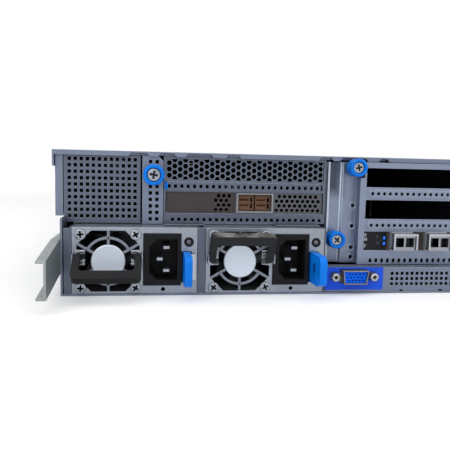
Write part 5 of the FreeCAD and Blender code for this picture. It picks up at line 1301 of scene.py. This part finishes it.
class RACK_SERVER_OT_card_contacts(bpy.types.Operator):
    """Rows of copper contacts in the card's two receptacles"""
    bl_idname = "rack_server.card_contacts"
    bl_label = "Card contacts"

    def execute(self, context):
        low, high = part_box("card_connectors")
        width = (high.x - low.x) / 2
        combs = bmesh.new()
        for left in (low.x, low.x + width + 0.4 * MM):
            for base in (2.6, 6.1):
                for k in range(9):
                    x = left + (1.05 + 0.6 * k) * MM
                    for z in (low.z + (base + 0.04) * MM, low.z + (base + 1.16) * MM):
                        bar(combs, (x, low.y - 0.12 * MM, z),
                            (x + 0.34 * MM, low.y + 3.4 * MM, z + 0.3 * MM))
        settle("comb_contacts", combs, FINISHES["contact_copper"], "chassis")
        ribs = bmesh.new()
        for left in (low.x, low.x + width + 0.4 * MM):
            for z in (low.z + 0.5 * MM, low.z + 4.55 * MM, low.z + 8.2 * MM):
                bar(ribs, (left + 0.3 * MM, low.y - 0.3 * MM, z),
                    (left + width - 0.8 * MM, low.y, z + 0.9 * MM))
        settle("comb_ribs", ribs, FINISHES["comb_moulding"], "chassis",
               bevel=0.15 * MM)
        return {"FINISHED"}


class RACK_SERVER_OT_video_port(bpy.types.Operator):
    """Insert of the video port with its fifteen sockets"""
    bl_idname = "rack_server.video_port"
    bl_label = "Video port"

    def execute(self, context):
        low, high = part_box("vga_connector")
        x, z = (low.x + high.x) / 2, VIDEO_LEVEL
        top, bottom, tall = 7.7 * MM, 6.7 * MM, 3.7 * MM
        outline = rounded([(-bottom, -tall), (bottom, -tall), (top, tall), (-top, tall)],
                          1.1 * MM, 4)
        face = low.y + 1.2 * MM
        sockets = []
        for row, shift in ((1, 0.6), (0, -0.55), (-1, 0.6)):
            for k in range(-2, 3):
                sockets.append(circle(0.5 * MM, 10, (k * 2.29 + shift) * MM, row * 2.0 * MM))
        bm = bmesh.new()
        slab(bm, along_y(x, z), outline, face, face + 1.05 * MM, sockets, 0.95 * MM)
        # The second finish is the painted shade in the sockets.
        finishes = (FINISHES["port_insert"], FINISHES["socket_shade"])
        settle("video_insert", bm, finishes, "chassis")
        nuts = bmesh.new()
        for side in (-1, 1):
            place = along_y(x + side * JACKSCREW_OFFSET, z)
            turned(nuts, place, plain([
                (low.y + 0.75 * MM, 1.3 * MM), (low.y + 0.75 * MM, 1.9 * MM),
                (low.y + 1.05 * MM, 2.3 * MM), (low.y + 1.6 * MM, 2.3 * MM),
                (low.y + 1.6 * MM, 1.3 * MM)]), steps=28)
            for k in range(4):
                depth = low.y + (1.2 + 0.5 * k) * MM
                turned(nuts, place, plain([(depth, 1.3 * MM), (depth + 0.2 * MM, 1.12 * MM),
                                           (depth + 0.4 * MM, 1.3 * MM)]), steps=20)
        settle("jackscrew_rims", nuts, FINISHES["nickel_plate"], "chassis")
        return {"FINISHED"}


class RACK_SERVER_OT_port_contacts(bpy.types.Operator):
    """Tongues and spring contacts inside the serial and network jacks"""
    bl_idname = "rack_server.port_contacts"
    bl_label = "Port contacts"

    def execute(self, context):
        tongue, contacts = bmesh.new(), bmesh.new()
        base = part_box("io_ports")[0].z
        for place in SERIAL_JACKS:
            x, z = across(place), base + 2.95 * MM
            bar(tongue, (x - 5.4 * MM, REAR + 1.2 * MM, z + 0.2 * MM),
                (x + 5.4 * MM, REAR + 13.0 * MM, z + 2.0 * MM))
            for k in range(4):
                cx = x + (-3.6 + 2.4 * k) * MM
                bar(contacts, (cx - 0.5 * MM, REAR + 1.8 * MM, z + 0.05 * MM),
                    (cx + 0.5 * MM, REAR + 10.0 * MM, z + 0.22 * MM))
        for place in NETWORK_JACKS:
            x, z = across(place), base + 4.8 * MM
            for k in range(8):
                cx = x + (-3.57 + 1.02 * k) * MM
                bar(contacts, (cx - 0.17 * MM, REAR + 3.0 * MM, z + 2.6 * MM),
                    (cx + 0.17 * MM, REAR + 15.0 * MM, z + 2.9 * MM))
            for side in (-1, 1):
                bar(tongue, (x + side * 6.9 * MM - 0.6 * MM, REAR + 1.0 * MM, z - 4.2 * MM),
                    (x + side * 6.9 * MM + 0.6 * MM, REAR + 12.0 * MM, z - 1.6 * MM))
        settle("port_tongues", tongue, FINISHES["black_moulding"], "chassis",
               bevel=0.2 * MM)
        settle("port_contacts", contacts, FINISHES["contact_copper"], "chassis",
               bevel=0.05 * MM)
        return {"FINISHED"}


def dome_on_side(bm, side, x, y, z, radius, rise):
    """Rivet or stud head on a side wall, facing outwards."""
    def place(a, b, depth):
        return Vector((x + side * depth, y + a, z + b))
    turned(bm, place, plain([
        (rise, 0.0), (rise * 0.92, radius * 0.4), (rise * 0.6, radius * 0.78),
        (0.0, radius), (-0.2 * MM, radius), (-0.2 * MM, 0.0)]), steps=24)


class RACK_SERVER_OT_rivets(bpy.types.Operator):
    """Rivets and studs of side walls, rails, ears and cover"""
    bl_idname = "rack_server.rivets"
    bl_label = "Rivets and studs"

    def execute(self, context):
        low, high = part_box("rack_rails")
        wall_x = LEFT + 6.7 * MM
        studs, rivets = bmesh.new(), bmesh.new()
        for side in (-1, 1):
            web = side * (abs(wall_x) + 1.2 * MM)
            for y in RAIL_STUDS:
                dome_on_side(studs, side, web, y, (low.z + 5.4 * MM + high.z) / 2, 3.4 * MM,
                             1.6 * MM)
            ear = side * (abs(wall_x) + 3.0 * MM)
            for y, z in EAR_STUDS:
                dome_on_side(studs, side, ear, y, z, 2.6 * MM, 0.7 * MM)
            upper = side * (abs(LEFT) - 1.2 * MM)
            for y in WALL_RIVETS:
                dome_on_side(rivets, side, upper, y, WALL_RIVET_LEVEL, 1.9 * MM, 0.55 * MM)
        settle("rail_studs", studs, FINISHES["turned_steel"], "chassis")
        settle("wall_rivets", rivets, FINISHES["plated_sheet"], "chassis")
        rims = bmesh.new()
        for level in FLANGE_HOLE_LEVELS:
            turned(rims, along_y(across(FLANGE_HOLES), level * MM), plain([
                (PANEL - 1.2 * MM, 1.28 * MM), (PANEL - 2.02 * MM, 1.9 * MM),
                (PANEL - 2.06 * MM, 2.25 * MM), (PANEL - 2.0 * MM, 2.35 * MM)]), steps=28)
        settle("countersink_rims", rims, FINISHES["nickel_plate"], "chassis")
        return {"FINISHED"}


def solid_boxes(node):
    """Corners of every separate solid of a node."""
    bm = bmesh.new()
    bm.from_mesh(frame["nodes"][node].data)
    bmesh.ops.remove_doubles(bm, verts=bm.verts, dist=1e-6)
    waiting, boxes = set(bm.verts), []
    while waiting:
        reached = [waiting.pop()]
        for vert in reached:
            for edge in vert.link_edges:
                other = edge.other_vert(vert)
                if other in waiting:
                    waiting.remove(other)
                    reached.append(other)
        boxes.append(tuple(Vector([pick(v.co[axis] for v in reached) for axis in range(3)])
                           for pick in (min, max)))
    bm.free()
    return boxes


class RACK_SERVER_OT_blank_grilles(bpy.types.Operator):
    """Upright ribs and a pull rim on the front of every bay blank"""
    bl_idname = "rack_server.blank_grilles"
    bl_label = "Blank grilles"

    def execute(self, context):
        grilles = bmesh.new()
        margin, rim, count = 3.0 * MM, 16.0 * MM, 15
        place = along_y(0.0, 0.0)
        for low, high in solid_boxes("bay_blanks"):
            step = (high.x - low.x - rim - 2 * margin) / count
            for k in range(count):
                x = low.x + rim + margin + (k + 0.5) * step
                outline = rounded(rectangle(x - step * 0.30, x + step * 0.30, low.z + margin,
                                            high.z - margin), step * 0.25, 3)
                slab(grilles, place, outline, high.y - 0.1 * MM, high.y + 0.3 * MM)
            outer = rounded(rectangle(low.x + margin, low.x + rim - MM, low.z + margin,
                                      high.z - margin), 2.0 * MM, 4)
            slab(grilles, place, outer, high.y - 0.1 * MM, high.y + 0.45 * MM)
        settle("blank_grilles", grilles, FINISHES["grille_moulding"], "chassis",
               bevel=0.2 * MM)
        return {"FINISHED"}


class RACK_SERVER_OT_front_fittings(bpy.types.Operator):
    """Touch points and lights of the drive carriers, ring of the power button"""
    bl_idname = "rack_server.front_fittings"
    bl_label = "Front fittings"

    def execute(self, context):
        for number in (1, 2):
            low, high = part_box("drive_%d_lever" % number)
            grip = bmesh.new()
            for k in range(4):
                x = low.x + (1.2 + 1.5 * k) * MM
                bar(grip, (x, high.y - 0.1 * MM, low.z + 6.0 * MM),
                    (x + 0.8 * MM, high.y + 0.4 * MM, high.z - 6.0 * MM))
            settle("lever_grip_%d" % number, grip, FINISHES["azure_moulding"],
                   "drive_%d_lever" % number, bevel=0.2 * MM)
            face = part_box("drive_%d_carrier" % number)
            bm = bmesh.new()
            for level in (-3.0, 3.0):
                x, z = face[0].x + 3.2 * MM, (face[0].z + face[1].z) / 2 + level * MM
                turned(bm, along_y(x, z), plain([
                    (face[1].y + 0.3 * MM, 0.0), (face[1].y + 0.2 * MM, 0.7 * MM),
                    (face[1].y - 0.1 * MM, 1.0 * MM), (face[1].y - 0.3 * MM, 0.0)]), steps=18)
            settle("carrier_lights_%d" % number, bm, FINISHES["green_lens"],
                   "drive_%d" % number, smooth_angle=70)
        low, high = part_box("power_button")
        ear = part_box("mounting_ears")[1].y
        inner = (high.x - low.x) / 2 + 0.35 * MM
        ring = bmesh.new()
        turned(ring, along_y((low.x + high.x) / 2, (low.z + high.z) / 2), plain([
            (ear - 0.1 * MM, inner), (ear + 0.3 * MM, inner), (ear + 0.42 * MM, inner + 0.2 * MM),
            (ear + 0.3 * MM, inner + 0.8 * MM), (ear - 0.1 * MM, inner + 0.9 * MM),
            (ear - 0.1 * MM, inner)]), steps=40)
        settle("button_ring", ring, FINISHES["green_lens"], "chassis")
        return {"FINISHED"}


# ---------------------------------------------------------------- the stage
def lamp(name, place, aim, size, power):
    """Rectangular lamp that looks at a point."""
    light = bpy.data.lights.new(name, "AREA")
    light.shape = "RECTANGLE"
    light.size, light.size_y = size
    light.energy = power
    holder = bpy.data.objects.new(name, light)
    holder.location = place
    holder.rotation_euler = (Vector(aim) - Vector(place)).to_track_quat("-Z", "Y").to_euler()
    bpy.context.scene.collection.objects.link(holder)


def camera_axes(yaw, pitch, roll):
    """Right, down and forward direction of the camera."""
    cy, sy = math.cos(yaw), math.sin(yaw)
    cp, sp = math.cos(pitch), math.sin(pitch)
    cr, sr = math.cos(roll), math.sin(roll)
    turn = (Matrix(((cr, -sr, 0), (sr, cr, 0), (0, 0, 1)))
            @ Matrix(((1, 0, 0), (0, cp, -sp), (0, sp, cp)))
            @ Matrix(((cy, 0, -sy), (0, 1, 0), (sy, 0, cy))))
    return [Vector((row[0], row[2], -row[1])) for row in turn]


def seen_rays(nodes):
    """1 for rays from the camera, also those that are reflected or pass through."""
    path = nodes.add("ShaderNodeLightPath").outputs
    direct = nodes.math("MAXIMUM", path["Is Camera Ray"], path["Is Glossy Ray"])
    return nodes.math("MAXIMUM", direct, path["Is Transmission Ray"])


def lay_floor(stage):
    """Pale paper that fades to white with the distance and keeps the shadow."""
    bm = bmesh.new()
    bmesh.ops.create_grid(bm, x_segments=8, y_segments=8, size=4.0)
    mesh = bpy.data.meshes.new("floor")
    bm.to_mesh(mesh)
    bm.free()
    floor = bpy.data.objects.new("floor", mesh)
    bpy.context.scene.collection.objects.link(floor)
    finish, nodes, shader = new_finish("floor_paper")
    seen = seen_rays(nodes)
    skin = place_group(nodes, surface_grain, Grain=900.0, Clouds=4.0)
    paper = nodes.blend(skin["Tone"], scaled(tuple(stage.floor), 0.98), tuple(stage.floor))
    nodes.feed(shader["Base Color"], nodes.blend(seen, paper, (1.0, 1.0, 1.0)))
    shader["Emission Color"].default_value = (1.0, 1.0, 1.0, 1.0)
    away = nodes.add("ShaderNodeVectorMath", {0: nodes.place()},
                     operation="LENGTH").outputs["Value"]
    lift = nodes.spread(away, 0.6, 2.0, 0.16, 0.6)
    nodes.feed(shader["Emission Strength"], nodes.math("MULTIPLY", seen, lift))
    nodes.feed(shader["Roughness"], nodes.spread(skin["Height"], 0.3, 0.7, 0.8, 0.9))
    shader["Specular IOR Level"].default_value = 0.1
    mesh.materials.append(finish)


def light_room(stage):
    """Even white room with three large soft lamps."""
    world = bpy.data.worlds.new("studio")
    bpy.context.scene.world = world
    world.use_nodes = True
    world.node_tree.nodes.clear()
    nodes = Nodes(world.node_tree)
    strength = nodes.spread(seen_rays(nodes), 0.0, 1.0, stage.sky, 1.0)
    back = nodes.add("ShaderNodeBackground", {"Color": (1.0, 1.0, 1.0), "Strength": strength})
    output = nodes.add("ShaderNodeOutputWorld")
    world.node_tree.links.new(back.outputs[0], output.inputs["Surface"])
    rear_middle = (-0.08, REAR, 0.04)
    lamp("key_lamp", (-0.75, -1.35, 0.95), rear_middle, (1.6, 1.4), stage.key)
    lamp("fill_lamp", (1.1, -1.2, 0.75), rear_middle, (1.3, 1.3), stage.fill)
    lamp("top_lamp", (0.0, -0.3, 1.5), (0.0, -0.2, 0.0), (1.8, 1.8), stage.top)


def set_camera(stage):
    """Camera behind the left part of the rear, a little above it."""
    lens = bpy.data.cameras.new("rear_view")
    lens.sensor_width = 36.0
    lens.lens = stage.lens
    lens.clip_start = 0.01
    camera = bpy.data.objects.new("rear_view", lens)
    right, down, forward = camera_axes(*(math.radians(angle) for angle in CAMERA_TURN))
    turn = Matrix((right, -down, -forward)).transposed().to_4x4()
    camera.matrix_world = Matrix.Translation(CAMERA_PLACE) @ turn
    scene = bpy.context.scene
    scene.collection.objects.link(camera)
    scene.camera = camera


class RACK_SERVER_OT_stage(bpy.types.Operator):
    """Pale floor, soft lamps and the camera"""
    bl_idname = "rack_server.stage"
    bl_label = "Stage"

    def execute(self, context):
        stage = values().stage
        bpy.context.scene.view_settings.view_transform = "Standard"
        lay_floor(stage)
        light_room(stage)
        set_camera(stage)
        return {"FINISHED"}


STEPS = (
    RACK_SERVER_OT_mix_finishes, RACK_SERVER_OT_coat_frame, RACK_SERVER_OT_captive_screws,
    RACK_SERVER_OT_fan_guards, RACK_SERVER_OT_fan_rotors, RACK_SERVER_OT_case_screws,
    RACK_SERVER_OT_supply_handles, RACK_SERVER_OT_supply_latches, RACK_SERVER_OT_mains_blades,
    RACK_SERVER_OT_status_lights, RACK_SERVER_OT_bay_foot, RACK_SERVER_OT_rib_tab,
    RACK_SERVER_OT_network_card, RACK_SERVER_OT_card_contacts, RACK_SERVER_OT_video_port,
    RACK_SERVER_OT_port_contacts, RACK_SERVER_OT_rivets, RACK_SERVER_OT_blank_grilles,
    RACK_SERVER_OT_front_fittings, RACK_SERVER_OT_stage,
)


class RACK_SERVER_PT_panel(bpy.types.Panel):
    """Steps and values of the server's look"""
    bl_idname = "RACK_SERVER_PT_panel"
    bl_label = "Rack server"
    bl_space_type = "VIEW_3D"
    bl_region_type = "UI"
    bl_category = "Rack server"

    def draw(self, context):
        for step in STEPS:
            self.layout.operator(step.bl_idname, text=step.bl_label)
        for part in ("finishes", "screws", "handles", "fans", "stage"):
            group_values = getattr(context.scene.rack_server, part)
            column = self.layout.column(align=True)
            column.label(text=part.capitalize())
            for key in group_values.bl_rna.properties.keys():
                if key not in ("rna_type", "name"):
                    column.prop(group_values, key)


CLASSES = (RackServerFinishes, RackServerScrews, RackServerHandles, RackServerFans,
           RackServerStage, RackServerValues, *STEPS, RACK_SERVER_PT_panel)


def register():
    for cls in CLASSES:
        bpy.utils.register_class(cls)
    bpy.types.Scene.rack_server = bpy.props.PointerProperty(type=RackServerValues)


def unregister():
    del bpy.types.Scene.rack_server
    for cls in reversed(CLASSES):
        bpy.utils.unregister_class(cls)


def main():
    register()
    for step in STEPS:
        area, name = step.bl_idname.split(".")
        result = getattr(getattr(bpy.ops, area), name)()
        if "FINISHED" not in result:
            raise RuntimeError(step.bl_label + " did not finish")


if __name__ == "__main__":
    main()
